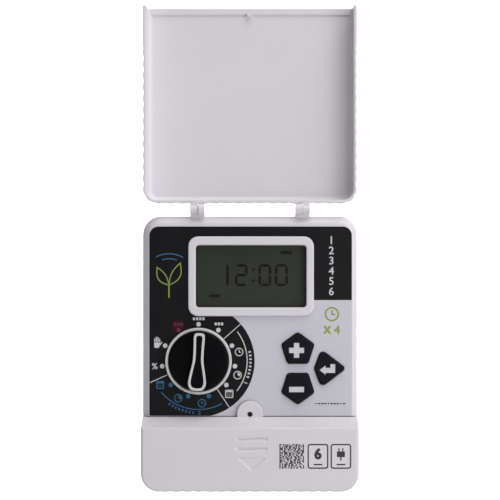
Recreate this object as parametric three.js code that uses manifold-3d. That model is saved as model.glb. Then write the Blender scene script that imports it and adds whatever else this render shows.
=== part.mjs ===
// Wall-mounted irrigation controller with its hinged cover open, in millimetres.
// X runs right, Z runs up, and the front faces -Y. The wall plane is Y = 0, and the origin is the
// middle of the flat back face. The hinged cover stands open, its inside facing forward.
import * as THREE from "three";
import { mergeVertices } from "three/addons/utils/BufferGeometryUtils.js";
import Module from "manifold-3d";

const wasm = await Module();
wasm.setup();

// ---------------------------------------------------------------- housing
const HALF_WIDTH = 65;
const HALF_HEIGHT = 82.3;
const BODY_CORNER = 10.9;
const WALL = 2.4;
const SEAM_Y = -10;
const PANEL_Y = -22;
const PANEL_THICKNESS = 2.2;
const PANEL_INSET = 3.9;
const SHOULDER_Y = -19;
const SHOULDER_FLOOR = 2;
const FRONT_CASE_BOTTOM = -38.6;
const GAP = 0.3;
const CUT_EXTRA = 1;

// ---------------------------------------------------------------- hinged cover
const COVER_HALF_WIDTH = 64.8;
const COVER_LOW_Z = 90.2;
const COVER_HIGH_Z = 209.9;
const COVER_CORNER = 8.4;
const COVER_WALL = 2.1;
const COVER_BACK_Y = -6;
const COVER_PLATE_Y = -8;
const COVER_RIM_Y = -22.9;
const COVER_LIP_HEIGHT = 3.6;
const COVER_LIP_RISE = 0.8;
const FLUTE_PITCH = 6.95;
const FLUTE_DEPTH = 0.6;
const FLUTE_STEPS = 5;
const FLUTE_START = 25;
const PLAIN_FROM_X = 26.5;
const PLAIN_TO_X = 37.2;
const LATCH_NUB_WIDTH = 3;
const LATCH_NUB_RISE = 2.4;

// ---------------------------------------------------------------- hinge
const HINGE_Y = -22;
const HINGE_Z = 86.5;
const LUG_RADIUS = 3.4;
const LUG_INNER_X = 27.5;
const LUG_OUTER_X = 31.4;
const LUG_FRONT_Y = -19.6;
const LUG_REAR_Y = -12.5;
const HINGE_FOOT_Z = 84.4;
const ARM_RADIUS = 2.8;
const ARM_INNER_X = 31.8;
const ARM_OUTER_X = 36.2;
const ARM_NECK_HALF = 1.7;
const ARM_COLLAR_RADIUS = 2.4;
const ARM_COLLAR_GAP = 0.12;
const PIN_RADIUS = 1.1;
const PIN_BORE_RADIUS = 1.4;

// ---------------------------------------------------------------- terminal cover
const TERMINAL_TOP_Z = FRONT_CASE_BOTTOM - GAP;
const TERMINAL_FRONT_Y = -38;
const TERMINAL_REAR_Y = SEAM_Y - GAP;
const TERMINAL_WALL = 2.2;
const BEVEL_START_Y = -25.2;
const BEVEL_END_Z = -44.2;
const TERMINAL_FLUTE_DEPTH = 0.35;
const TAB_Z = -37.2;
const TAB_RADIUS = 8;
const TAB_BACK_Y = -22.6;
const TAB_HOLE_RADIUS = 1.6;
const MARK_DEPTH = 0.4;
const MARK_X = 0.9;
const MARK_HALF_WIDTH = 9.6;
const MARK_BAR_HEIGHTS = [-50.6, -56.6];
const MARK_HEAD_Z = -61.2;
const MARK_TIP_Z = -70;
const RELEASE_SCREW_RADIUS = 1.4;
const RELEASE_SCREW_FRONT_Y = -24.4;
const RELEASE_SCREW_END_Y = -18.6;

// ---------------------------------------------------------------- display
const DISPLAY_X = 0.6;
const DISPLAY_Z = 46;
const FRAME_HALF_WIDTH = 38;
const FRAME_HALF_HEIGHT = 24.1;
const FRAME_CORNER = 6;
const FRAME_Y = -24;
const WINDOW_HALF_WIDTH = 33.4;
const WINDOW_HALF_HEIGHT = 18.8;
const WINDOW_CORNER = 2;
const LENS_MARGIN = 2;
const LENS_FRONT_Y = -21.4;
const LENS_BACK_Y = -19.9;
const GLASS_FRONT_Y = -19.3;
const GLASS_BACK_Y = -16.5;
const HOLDER_WALL = 1.6;
const HOLDER_FRONT_Y = -19.6;

// ---------------------------------------------------------------- dial
const DIAL_X = -31.1;
const DIAL_Z = -5.2;
const DIAL_TURN = THREE.MathUtils.degToRad(3);
const KNOB_RADIUS = 18.1;
const KNOB_BACK_Y = -22.7;
const KNOB_FACE_Y = -26.2;
const GRIP_TOP_Y = -32.6;
const OUTLINE_TOP_Y = -33.1;
const OUTLINE_STROKE = 1.5;
const RING_INNER_RADIUS = 18.35;
const RING_OUTER_RADIUS = 20.1;
const RING_TOP_Y = -25;
const STEM_RADIUS = 4.4;
const STEM_END_Y = -12;
const STEM_HOLE_RADIUS = 4.8;
const ROTOR_RADIUS = 15;
const ROTOR_BACK_Y = -9.4;
const ROTOR_FRONT_Y = -11.6;
const ROTOR_HUB_RADIUS = 6.4;
const ROTOR_HUB_Y = -16.5;
const DIAL_POSITIONS = 11;
const NOTCH_RADIUS = 1;

// ---------------------------------------------------------------- keys
const PENTAGON_RADIUS = 10.25;
const KEY_CORNER = 1.5;
const KITE_CORNER = 2.2;
const KEY_TOP_Y = -24.2;
const KEY_HOLE_GAP = 0.4;
const KEY_FLANGE = 1.2;
const FLANGE_FRONT_Y = -19.6;
const FLANGE_BACK_Y = -18.2;
const PLUNGER_RADIUS = 3;
const PLUNGER_END_Y = -10.2;
const PILL_RADIUS = 2.4;
const PILL_END_Y = -9.2;
const PLUS_KEY = { x: 28.9, z: 1.7 };
const MINUS_KEY = { x: 28.9, z: -21.1 };
const ENTER_KEY = { x: 45.6, z: -9.7 };

// ---------------------------------------------------------------- electronics
const BOARD_HALF_WIDTH = 49.8;
const BOARD_TOP_Z = 73;
const BOARD_BOTTOM_Z = -72.5;
const BOARD_BACK_Y = -6;
const BOARD_FRONT_Y = -7.6;
const PART_BACK_Y = BOARD_FRONT_Y - 0.1;
const TERMINAL_COUNT = 10;
const TERMINAL_PITCH = 5.08;
const TERMINAL_BLOCK_Z = -59;
const TERMINAL_BLOCK_HALF_HEIGHT = 5;
const TERMINAL_BLOCK_FRONT_Y = -18;
const TRIAC_COUNT = 7;
const BATTERY_Z = -22;
const COIN_RADIUS = 10;
const FUSE_Y = PART_BACK_Y - 3.1;
const FUSE_Z = -45;
const FUSE_TUBE_RADIUS = 2.3;
const FUSE_CAP_RADIUS = 2.7;

// ---------------------------------------------------------------- screws and wall fixings
const CASE_SCREW_SPOTS = [[-55, 70.5], [55, 70.5], [-57, -31], [57, -31]];
const BOARD_SCREW_SPOTS = [[-45, 64], [45, 64], [-45, -67], [45, -67]];
const REAR_BOSS_RADIUS = 4.5;
const FRONT_BOSS_RADIUS = 3.6;
const BOARD_POST_RADIUS = 3.2;
const SCREW_RECESS_RADIUS = 3.6;
const SCREW_RECESS_DEPTH = 4;
const SCREW_HEAD_RADIUS = 3.1;
const SCREW_SHANK_RADIUS = 1.45;
const SCREW_CLEARANCE_RADIUS = 1.8;
const SCREW_END_Y = -16;
const KEYHOLE_Z = 55;
const KEYHOLE_HEAD_RADIUS = 4.5;
const KEYHOLE_SLOT_HALF = 2.2;
const KEYHOLE_TOP_Z = 63;
const LOWER_FIXING_X = 40;
const LOWER_FIXING_Z = -76;
const LOWER_FIXING_RADIUS = 2.2;
const INLET_HALF_WIDTH = 18;
const INLET_BACK_Y = -4;

// ================================================================ outlines
const CORNER_STEPS = 6;

// Corners given as [across, up, radius], joined by straight sides and tangent arcs.
function roundedOutline(corners, steps = CORNER_STEPS) {
  const count = corners.length;
  const points = [];
  corners.forEach(([x, y, radius], i) => {
    const corner = new THREE.Vector2(x, y);
    if (radius === 0) {
      points.push(corner);
      return;
    }
    const before = corners[(i + count - 1) % count];
    const after = corners[(i + 1) % count];
    const toBefore = new THREE.Vector2(before[0] - x, before[1] - y).normalize();
    const toAfter = new THREE.Vector2(after[0] - x, after[1] - y).normalize();
    const half = Math.acos(toBefore.dot(toAfter)) / 2;
    const bisector = toBefore.clone().add(toAfter).normalize();
    const centre = corner.clone().addScaledVector(bisector, radius / Math.sin(half));
    const start = corner.clone().addScaledVector(toBefore, radius / Math.tan(half)).sub(centre);
    const end = corner.clone().addScaledVector(toAfter, radius / Math.tan(half)).sub(centre);
    const turn = Math.atan2(start.cross(end), start.dot(end));
    for (let k = 0; k <= steps; k += 1) {
      const angle = start.angle() + (turn * k) / steps;
      points.push(new THREE.Vector2(Math.cos(angle), Math.sin(angle)).multiplyScalar(radius).add(centre));
    }
  });
  return points;
}

function rectangle(xMin, xMax, zMin, zMax, topRadius = 0, bottomRadius = topRadius) {
  return roundedOutline([
    [xMin, zMin, bottomRadius],
    [xMax, zMin, bottomRadius],
    [xMax, zMax, topRadius],
    [xMin, zMax, topRadius],
  ]);
}

function centredRectangle(x, z, halfWidth, halfHeight, radius = 0) {
  return rectangle(x - halfWidth, x + halfWidth, z - halfHeight, z + halfHeight, radius);
}

function disc(x, z, radius, sides = 24) {
  const points = [];
  for (let i = 0; i < sides; i += 1) {
    const angle = (i / sides) * 2 * Math.PI;
    points.push(new THREE.Vector2(x + radius * Math.cos(angle), z + radius * Math.sin(angle)));
  }
  return points;
}

// The same outline moved out by a distance on every side, or in if the distance is negative.
function offset(points, distance) {
  const outward = THREE.ShapeUtils.area(points) > 0 ? 1 : -1;
  const count = points.length;
  const normalOf = (from, to) =>
    new THREE.Vector2(to.y - from.y, from.x - to.x).normalize().multiplyScalar(outward);
  return points.map((point, i) => {
    const first = normalOf(points[(i + count - 1) % count], point);
    const second = normalOf(point, points[(i + 1) % count]);
    const shift = first.clone().add(second).multiplyScalar(distance / (1 + first.dot(second)));
    return point.clone().add(shift);
  });
}

// A U of wall, open at the top, whose outside is a row of half-round flutes with sharp valleys.
// It is smooth for a length from each end, and where isPlain says so.
function flutedOutline(halfWidth, zLow, zHigh, corner, smoothLength, depth, isPlain = () => false) {
  const path = new THREE.Path();
  path.moveTo(-halfWidth, zHigh);
  path.lineTo(-halfWidth, zLow + corner);
  path.absarc(-halfWidth + corner, zLow + corner, corner, Math.PI, 1.5 * Math.PI);
  path.lineTo(halfWidth - corner, zLow);
  path.absarc(halfWidth - corner, zLow + corner, corner, 1.5 * Math.PI, 2 * Math.PI);
  path.lineTo(halfWidth, zHigh);
  const length = path.getLength();
  const flutedLength = length - 2 * smoothLength;
  const flutes = Math.round(flutedLength / FLUTE_PITCH);
  const straight = zHigh - zLow - corner;
  const smoothPoints = [];
  for (let i = 0; i < CORNER_STEPS; i += 1) {
    const along = straight + ((smoothLength - straight) * i) / CORNER_STEPS;
    if (along >= straight && smoothLength > straight) {
      smoothPoints.push(path.getPointAt(along / length));
    }
  }
  const points = [new THREE.Vector2(-halfWidth, zHigh), ...smoothPoints];
  for (let i = 0; i <= flutes * FLUTE_STEPS; i += 1) {
    const along = (smoothLength + (flutedLength * i) / (flutes * FLUTE_STEPS)) / length;
    const tangent = path.getTangentAt(along);
    const inward = new THREE.Vector2(-tangent.y, tangent.x);
    const point = path.getPointAt(along);
    const lobe = Math.abs(Math.sin((Math.PI * i) / FLUTE_STEPS));
    const atEnd = i === 0 || i === flutes * FLUTE_STEPS;
    points.push(point.addScaledVector(inward, atEnd || isPlain(point) ? 0 : depth * (1 - lobe)));
  }
  const mirrored = smoothPoints.map((point) => new THREE.Vector2(-point.x, point.y)).reverse();
  points.push(...mirrored, new THREE.Vector2(halfWidth, zHigh));
  return points;
}

// ================================================================ solids
const WELD = 1e-4;

function solidOf(geometry) {
  const bare = new THREE.BufferGeometry();
  bare.setAttribute("position", geometry.getAttribute("position"));
  bare.setIndex(geometry.index);
  const welded = mergeVertices(bare, WELD);
  return new wasm.Manifold(new wasm.Mesh({
    numProp: 3,
    vertProperties: welded.getAttribute("position").array,
    triVerts: new Uint32Array(welded.index.array),
  }));
}

function shapeOf(outline, holes = []) {
  const shape = new THREE.Shape(outline);
  holes.forEach((hole) => shape.holes.push(new THREE.Path(hole)));
  return shape;
}

// An outline seen from the front, made solid between two depths.
function facing(outline, yBack, yFront, holes = []) {
  const depth = Math.abs(yFront - yBack);
  const geometry = new THREE.ExtrudeGeometry(shapeOf(outline, holes), { depth, bevelEnabled: false });
  geometry.rotateX(Math.PI / 2);
  geometry.translate(0, Math.max(yBack, yFront), 0);
  return solidOf(geometry);
}

// An outline given as [depth, height], made solid from one X to another.
function across(outline, xFrom, xTo) {
  const geometry = new THREE.ExtrudeGeometry(shapeOf(outline), { depth: xTo - xFrom, bevelEnabled: false });
  const turn = new THREE.Matrix4().makeBasis(
    new THREE.Vector3(0, 1, 0),
    new THREE.Vector3(0, 0, 1),
    new THREE.Vector3(1, 0, 0),
  );
  geometry.applyMatrix4(turn);
  geometry.translate(xFrom, 0, 0);
  return solidOf(geometry);
}

function post(spot, radius, yBack, yFront, sides = 16) {
  return facing(disc(spot[0], spot[1], radius, sides), yBack, yFront);
}

function join(solids) {
  return solids.reduce((all, next) => all.add(next));
}

function cut(solid, tools) {
  return tools.reduce((rest, tool) => rest.subtract(tool), solid);
}

// ================================================================ nodes
const part = new THREE.Group();
part.name = "irrigation_controller";

function addNode(name, solid, material, parent = part) {
  const made = solid.getMesh();
  const geometry = new THREE.BufferGeometry();
  geometry.setAttribute("position", new THREE.BufferAttribute(new Float32Array(made.vertProperties), 3));
  geometry.setIndex(new THREE.BufferAttribute(new Uint32Array(made.triVerts), 1));
  geometry.computeVertexNormals();
  const mesh = new THREE.Mesh(geometry, material);
  mesh.name = name;
  parent.add(mesh);
}

function plastic(color, roughness = 0.45) {
  return new THREE.MeshStandardMaterial({ color, roughness, metalness: 0 });
}

function metal(color, roughness = 0.35) {
  return new THREE.MeshStandardMaterial({ color, roughness, metalness: 1 });
}

const WHITE = 0xe4e4e6;
const BLACK = 0x121214;
const STEEL = 0xb9bcc0;

// ================================================================ housing pieces
const bodyOutline = centredRectangle(0, 0, HALF_WIDTH, HALF_HEIGHT, BODY_CORNER);

function rearCase() {
  const tray = cut(facing(bodyOutline, 0, SEAM_Y), [
    facing(offset(bodyOutline, -WALL), -WALL, SEAM_Y - CUT_EXTRA),
  ]);
  const bosses = CASE_SCREW_SPOTS.map((spot) => post(spot, REAR_BOSS_RADIUS, -CUT_EXTRA, SEAM_Y + GAP));
  const posts = BOARD_SCREW_SPOTS.map((spot) =>
    post(spot, BOARD_POST_RADIUS, -CUT_EXTRA, BOARD_BACK_Y + 0.1));
  const headRecesses = CASE_SCREW_SPOTS.map((spot) =>
    post(spot, SCREW_RECESS_RADIUS, CUT_EXTRA, -SCREW_RECESS_DEPTH));
  const clearances = CASE_SCREW_SPOTS.map((spot) =>
    post(spot, SCREW_CLEARANCE_RADIUS, CUT_EXTRA, SEAM_Y - CUT_EXTRA, 12));
  const pilots = BOARD_SCREW_SPOTS.map((spot) => post(spot, SCREW_SHANK_RADIUS, -WALL, SEAM_Y, 12));
  const keyhole = [
    facing(disc(0, KEYHOLE_Z, KEYHOLE_HEAD_RADIUS), CUT_EXTRA, -WALL - CUT_EXTRA),
    facing(
      rectangle(-KEYHOLE_SLOT_HALF, KEYHOLE_SLOT_HALF, KEYHOLE_Z, KEYHOLE_TOP_Z, 2, 0),
      CUT_EXTRA,
      -WALL - CUT_EXTRA,
    ),
  ];
  const lowerFixings = [-LOWER_FIXING_X, LOWER_FIXING_X].map((x) =>
    post([x, LOWER_FIXING_Z], LOWER_FIXING_RADIUS, CUT_EXTRA, -WALL - CUT_EXTRA));
  const wireInlet = facing(
    rectangle(
      -INLET_HALF_WIDTH,
      INLET_HALF_WIDTH,
      -HALF_HEIGHT - CUT_EXTRA,
      -HALF_HEIGHT + WALL + CUT_EXTRA,
    ),
    INLET_BACK_Y,
    SEAM_Y - CUT_EXTRA,
  );
  return cut(join([tray, ...bosses, ...posts]), [
    ...headRecesses,
    ...clearances,
    ...pilots,
    ...keyhole,
    ...lowerFixings,
    wireInlet,
  ]);
}

function hingeLug(xFrom, xTo) {
  const startAngle = Math.acos((LUG_FRONT_Y - HINGE_Y) / LUG_RADIUS);
  const outline = [
    new THREE.Vector2(LUG_REAR_Y, HALF_HEIGHT - CUT_EXTRA),
    new THREE.Vector2(LUG_FRONT_Y, HALF_HEIGHT - CUT_EXTRA),
  ];
  const steps = 14;
  const sweep = 2 * Math.PI - startAngle - Math.PI / 2;
  for (let i = 0; i <= steps; i += 1) {
    const angle = -startAngle - (sweep * i) / steps;
    outline.push(new THREE.Vector2(
      HINGE_Y + LUG_RADIUS * Math.cos(angle),
      HINGE_Z + LUG_RADIUS * Math.sin(angle),
    ));
  }
  outline.push(new THREE.Vector2(-17, 88.4));
  outline.push(new THREE.Vector2(LUG_REAR_Y, 83.6));
  return cut(across(outline, xFrom, xTo), [pivotRod(PIN_BORE_RADIUS, xFrom - CUT_EXTRA, xTo + CUT_EXTRA)]);
}

// The low block beside each lug, just under the cover's hinge arm.
function hingeFoot(xFrom, xTo) {
  return facing(rectangle(xFrom, xTo, HALF_HEIGHT - CUT_EXTRA, HINGE_FOOT_Z), LUG_REAR_Y, LUG_FRONT_Y);
}

function pivotRod(radius, xFrom, xTo) {
  return across(disc(HINGE_Y, HINGE_Z, radius, 16), xFrom, xTo);
}

const windowOutline = centredRectangle(
  DISPLAY_X,
  DISPLAY_Z,
  WINDOW_HALF_WIDTH,
  WINDOW_HALF_HEIGHT,
  WINDOW_CORNER,
);
const frameOutline = centredRectangle(
  DISPLAY_X,
  DISPLAY_Z,
  FRAME_HALF_WIDTH,
  FRAME_HALF_HEIGHT,
  FRAME_CORNER,
);

// A pentagon with its point up, or down when direction is -1.
function pentagon(centre, direction) {
  const corners = [];
  for (let i = 0; i < 5; i += 1) {
    const angle = Math.PI / 2 + (i * 2 * Math.PI) / 5;
    corners.push([
      centre.x + PENTAGON_RADIUS * Math.cos(angle),
      centre.z + direction * PENTAGON_RADIUS * Math.sin(angle),
      KEY_CORNER,
    ]);
  }
  return roundedOutline(corners, 3);
}

const keys = [
  { name: "plus", centre: PLUS_KEY, outline: pentagon(PLUS_KEY, 1) },
  { name: "minus", centre: MINUS_KEY, outline: pentagon(MINUS_KEY, -1) },
  {
    name: "enter",
    centre: ENTER_KEY,
    outline: roundedOutline([
      [43.2, 1.4, KITE_CORNER],
      [39, -9.7, KEY_CORNER],
      [43.2, -20.8, KITE_CORNER],
      [57.7, -9.7, KEY_CORNER],
    ], 4),
  },
];

function frontCase() {
  const shellOutline = rectangle(-HALF_WIDTH, HALF_WIDTH, FRONT_CASE_BOTTOM, HALF_HEIGHT, BODY_CORNER, 0);
  const panelOutline = rectangle(
    -HALF_WIDTH + PANEL_INSET,
    HALF_WIDTH - PANEL_INSET,
    FRONT_CASE_BOTTOM,
    HALF_HEIGHT - PANEL_INSET,
    BODY_CORNER - PANEL_INSET,
    0,
  );
  const panelBack = PANEL_Y + PANEL_THICKNESS;
  const shoulder = wasm.Manifold.hull([
    facing(shellOutline, SHOULDER_Y + CUT_EXTRA, SHOULDER_Y),
    facing(panelOutline, SHOULDER_Y, PANEL_Y),
  ]);
  const shell = cut(join([facing(shellOutline, SEAM_Y, SHOULDER_Y), shoulder]), [
    facing(offset(shellOutline, -WALL), SEAM_Y + CUT_EXTRA, SHOULDER_Y + SHOULDER_FLOOR),
    facing(panelOutline, SEAM_Y, panelBack),
  ]);
  const displayFrame = facing(frameOutline, panelBack, FRAME_Y);
  const bosses = CASE_SCREW_SPOTS.map((spot) => post(spot, FRONT_BOSS_RADIUS, SEAM_Y, panelBack - 0.5));
  const lugs = [
    hingeLug(-LUG_OUTER_X, -LUG_INNER_X),
    hingeLug(LUG_INNER_X, LUG_OUTER_X),
    hingeFoot(-ARM_OUTER_X, -LUG_OUTER_X + GAP),
    hingeFoot(LUG_OUTER_X - GAP, ARM_OUTER_X),
  ];
  const pilots = CASE_SCREW_SPOTS.map((spot) =>
    post(spot, SCREW_CLEARANCE_RADIUS, SEAM_Y + CUT_EXTRA, SCREW_END_Y - 2, 12));
  const keyHoles = keys.map((key) =>
    facing(offset(key.outline, KEY_HOLE_GAP), SEAM_Y, PANEL_Y - CUT_EXTRA));
  const lensPocket = facing(offset(windowOutline, LENS_MARGIN + 0.2), SEAM_Y, LENS_FRONT_Y - 0.1);
  const window = facing(windowOutline, SEAM_Y, FRAME_Y - CUT_EXTRA);
  const stemHole = post([DIAL_X, DIAL_Z], STEM_HOLE_RADIUS, SEAM_Y, PANEL_Y - CUT_EXTRA, 24);
  const screwNotch = facing(
    rectangle(-1.8, 1.8, FRONT_CASE_BOTTOM - CUT_EXTRA, TAB_Z + 1.8, 1.7, 0),
    -14,
    PANEL_Y - CUT_EXTRA,
  );
  return cut(join([shell, displayFrame, ...bosses, ...lugs]), [
    ...pilots,
    ...keyHoles,
    lensPocket,
    window,
    stemHole,
    screwNotch,
  ]);
}

function fasciaLabel() {
  const outline = rectangle(-60.8, 61.6, -38.3, 76.1, 5.4, 1);
  const holes = [
    offset(frameOutline, GAP),
    disc(DIAL_X, DIAL_Z, 6),
    ...keys.map((key) => offset(key.outline, 0.6)),
  ];
  return cut(facing(outline, PANEL_Y - 0.05, PANEL_Y - 0.3, holes), [
    post([0, TAB_Z], TAB_RADIUS + 0.5, PANEL_Y + CUT_EXTRA, PANEL_Y - CUT_EXTRA, 32),
  ]);
}

function caseScrew(spot) {
  return join([
    post(spot, SCREW_HEAD_RADIUS, -1.6, -SCREW_RECESS_DEPTH + 0.1),
    post(spot, SCREW_SHANK_RADIUS, -SCREW_RECESS_DEPTH + 0.5, SCREW_END_Y, 12),
  ]);
}

// ================================================================ hinged cover pieces
// One arm on the side of the cover given by 1 or -1, with a thin collar towards its lug.
function hingeArm(side) {
  const between = (from, to) => [Math.min(side * from, side * to), Math.max(side * from, side * to)];
  const [xFrom, xTo] = between(ARM_INNER_X, ARM_OUTER_X);
  const neck = rectangle(
    HINGE_Y - ARM_NECK_HALF,
    HINGE_Y + ARM_NECK_HALF,
    HINGE_Z,
    COVER_LOW_Z + CUT_EXTRA,
  );
  const collar = pivotRod(ARM_COLLAR_RADIUS, ...between(LUG_OUTER_X + ARM_COLLAR_GAP, ARM_INNER_X + GAP));
  return cut(join([pivotRod(ARM_RADIUS, xFrom, xTo), across(neck, xFrom, xTo), collar]), [
    pivotRod(PIN_BORE_RADIUS, ...between(LUG_INNER_X, ARM_OUTER_X + CUT_EXTRA)),
  ]);
}

function cover() {
  const outside = flutedOutline(
    COVER_HALF_WIDTH,
    COVER_LOW_Z,
    COVER_HIGH_Z,
    COVER_CORNER,
    FLUTE_START,
    FLUTE_DEPTH,
    (point) => Math.abs(point.x) > PLAIN_FROM_X && Math.abs(point.x) < PLAIN_TO_X,
  );
  const inside = rectangle(
    -COVER_HALF_WIDTH + COVER_WALL,
    COVER_HALF_WIDTH - COVER_WALL,
    COVER_LOW_Z + COVER_WALL,
    COVER_HIGH_Z + CUT_EXTRA,
    0,
    COVER_CORNER - COVER_WALL,
  );
  const tray = cut(facing(outside, COVER_BACK_Y, COVER_RIM_Y), [
    facing(inside, COVER_PLATE_Y, COVER_RIM_Y - CUT_EXTRA),
  ]);
  const lip = facing(
    rectangle(
      -COVER_HALF_WIDTH + CUT_EXTRA,
      COVER_HALF_WIDTH - CUT_EXTRA,
      COVER_HIGH_Z - COVER_LIP_HEIGHT,
      COVER_HIGH_Z,
    ),
    COVER_BACK_Y - CUT_EXTRA,
    COVER_PLATE_Y - COVER_LIP_RISE,
  );
  const nub = facing(
    centredRectangle(-0.6, COVER_HIGH_Z - COVER_LIP_HEIGHT - 0.6, LATCH_NUB_WIDTH / 2, 1, 0.4),
    COVER_BACK_Y - CUT_EXTRA,
    COVER_PLATE_Y - LATCH_NUB_RISE,
  );
  return join([
    tray,
    lip,
    nub,
    hingeArm(-1),
    hingeArm(1),
  ]);
}

// ================================================================ terminal cover pieces
// A point [depth, height] on the sloped top, or under it by the wall's thickness.
function bevelPoint(y, inset) {
  const run = BEVEL_START_Y - TERMINAL_FRONT_Y;
  const fall = TERMINAL_TOP_Z - BEVEL_END_Z;
  const drop = (inset * Math.hypot(run, fall)) / run;
  return new THREE.Vector2(y, TERMINAL_TOP_Z - drop - ((BEVEL_START_Y - y) * fall) / run);
}

// Two bars over a triangle that points down, sunk a little into the front.
function downArrow() {
  const head = roundedOutline([
    [MARK_X - MARK_HALF_WIDTH, MARK_HEAD_Z, 0.8],
    [MARK_X + MARK_HALF_WIDTH, MARK_HEAD_Z, 0.8],
    [MARK_X, MARK_TIP_Z, 0.8],
  ], 3);
  const bars = MARK_BAR_HEIGHTS.map((z) => centredRectangle(MARK_X, z, MARK_HALF_WIDTH, 1.5, 0.8));
  return [head, ...bars].map((outline) =>
    facing(outline, TERMINAL_FRONT_Y + MARK_DEPTH, TERMINAL_FRONT_Y - CUT_EXTRA));
}

function terminalCover() {
  const innerFront = TERMINAL_FRONT_Y + TERMINAL_WALL;
  const bevelCut = across([
    bevelPoint(BEVEL_START_Y, 0),
    bevelPoint(TERMINAL_FRONT_Y - CUT_EXTRA, 0),
    new THREE.Vector2(TERMINAL_FRONT_Y - CUT_EXTRA, TERMINAL_TOP_Z + CUT_EXTRA),
    new THREE.Vector2(BEVEL_START_Y, TERMINAL_TOP_Z + CUT_EXTRA),
  ], -HALF_WIDTH - CUT_EXTRA, HALF_WIDTH + CUT_EXTRA);
  const cavityProfile = across([
    new THREE.Vector2(TERMINAL_REAR_Y + CUT_EXTRA, -HALF_HEIGHT),
    new THREE.Vector2(TERMINAL_REAR_Y + CUT_EXTRA, TERMINAL_TOP_Z + CUT_EXTRA),
    new THREE.Vector2(TAB_BACK_Y, TERMINAL_TOP_Z + CUT_EXTRA),
    bevelPoint(TAB_BACK_Y, TERMINAL_WALL),
    bevelPoint(innerFront, TERMINAL_WALL),
    new THREE.Vector2(innerFront, -HALF_HEIGHT),
  ], -HALF_WIDTH, HALF_WIDTH);
  const innerOutline = rectangle(
    -HALF_WIDTH + TERMINAL_WALL,
    HALF_WIDTH - TERMINAL_WALL,
    -HALF_HEIGHT + TERMINAL_WALL,
    TERMINAL_TOP_Z + 2 * CUT_EXTRA,
    0,
    BODY_CORNER - TERMINAL_WALL,
  );
  const cavity = facing(innerOutline, TERMINAL_REAR_Y + CUT_EXTRA, innerFront).intersect(cavityProfile);
  const outside = flutedOutline(
    HALF_WIDTH,
    -HALF_HEIGHT,
    TERMINAL_TOP_Z,
    BODY_CORNER,
    TERMINAL_TOP_Z + HALF_HEIGHT + (Math.PI / 2 - 1) * BODY_CORNER,
    TERMINAL_FLUTE_DEPTH,
  );
  const shell = cut(facing(outside, TERMINAL_REAR_Y, TERMINAL_FRONT_Y), [bevelCut, cavity]);
  const tab = post([0, TAB_Z], TAB_RADIUS, TAB_BACK_Y, BEVEL_START_Y, 36);
  const screwHole = post([0, TAB_Z], TAB_HOLE_RADIUS, SEAM_Y, TERMINAL_FRONT_Y - CUT_EXTRA, 16);
  return cut(join([shell, tab]), [screwHole, ...downArrow()]);
}

// ================================================================ display pieces
function displayHolder() {
  const outside = offset(windowOutline, LENS_MARGIN + 2 * HOLDER_WALL);
  const pocketOutline = offset(windowOutline, LENS_MARGIN + GAP);
  const pocket = facing(pocketOutline, GLASS_BACK_Y + 0.1, HOLDER_FRONT_Y - CUT_EXTRA);
  const well = facing(offset(windowOutline, -0.4), SEAM_Y + 2 * WALL, HOLDER_FRONT_Y - CUT_EXTRA);
  return cut(facing(outside, PART_BACK_Y, HOLDER_FRONT_Y), [pocket, well]);
}

function displayConnector() {
  const bar = centredRectangle(DISPLAY_X, DISPLAY_Z - WINDOW_HALF_HEIGHT + 2.2, 29, 1.2);
  return facing(bar, PART_BACK_Y, GLASS_BACK_Y + 0.2);
}

// ================================================================ dial pieces
// The grip seen from the front: a narrow neck above and a round bulb below, about its own middle.
function gripOutline() {
  const side = new THREE.SplineCurve([
    new THREE.Vector2(0, -17.3),
    new THREE.Vector2(3.4, -16.7),
    new THREE.Vector2(5.1, -14.3),
    new THREE.Vector2(5.3, -11.4),
    new THREE.Vector2(4.4, -6),
    new THREE.Vector2(3.3, 0),
    new THREE.Vector2(3.1, 5),
    new THREE.Vector2(3.2, 10),
    new THREE.Vector2(3.3, 14.8),
    new THREE.Vector2(2.6, 16.9),
    new THREE.Vector2(0, 17.4),
  ]).getPoints(22);
  const mirrored = side.slice(1, -1).reverse().map((point) => new THREE.Vector2(-point.x, point.y));
  return [...side, ...mirrored];
}

function dialKnob() {
  const base = facing(disc(0, 0, KNOB_RADIUS, 48), KNOB_BACK_Y, KNOB_FACE_Y);
  const grip = facing(gripOutline(), KNOB_FACE_Y + CUT_EXTRA, GRIP_TOP_Y);
  const stem = facing(disc(0, 0, STEM_RADIUS), STEM_END_Y, KNOB_BACK_Y - CUT_EXTRA);
  return join([base, grip, stem]);
}

function dialRing() {
  const outside = disc(0, 0, RING_OUTER_RADIUS, 64);
  return facing(outside, KNOB_BACK_Y, RING_TOP_Y, [disc(0, 0, RING_INNER_RADIUS, 64)]);
}

// The light line that follows the edge of the grip's top.
function gripInlay() {
  const outline = gripOutline();
  return facing(outline, GRIP_TOP_Y - 0.05, OUTLINE_TOP_Y, [offset(outline, -OUTLINE_STROKE)]);
}

function dialRotor() {
  const plate = facing(disc(0, 0, ROTOR_RADIUS, 44), ROTOR_BACK_Y, ROTOR_FRONT_Y);
  const hub = facing(disc(0, 0, ROTOR_HUB_RADIUS), ROTOR_FRONT_Y + CUT_EXTRA, ROTOR_HUB_Y);
  const socket = facing(disc(0, 0, STEM_RADIUS + GAP), STEM_END_Y + 0.2, ROTOR_HUB_Y - CUT_EXTRA);
  const notches = [];
  for (let i = 0; i < DIAL_POSITIONS; i += 1) {
    const angle = (i * 2 * Math.PI) / DIAL_POSITIONS;
    const spot = [ROTOR_RADIUS * Math.sin(angle), ROTOR_RADIUS * Math.cos(angle)];
    notches.push(post(spot, NOTCH_RADIUS, ROTOR_BACK_Y + CUT_EXTRA, ROTOR_FRONT_Y - CUT_EXTRA, 8));
  }
  return cut(join([plate, hub]), [socket, ...notches]);
}

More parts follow.
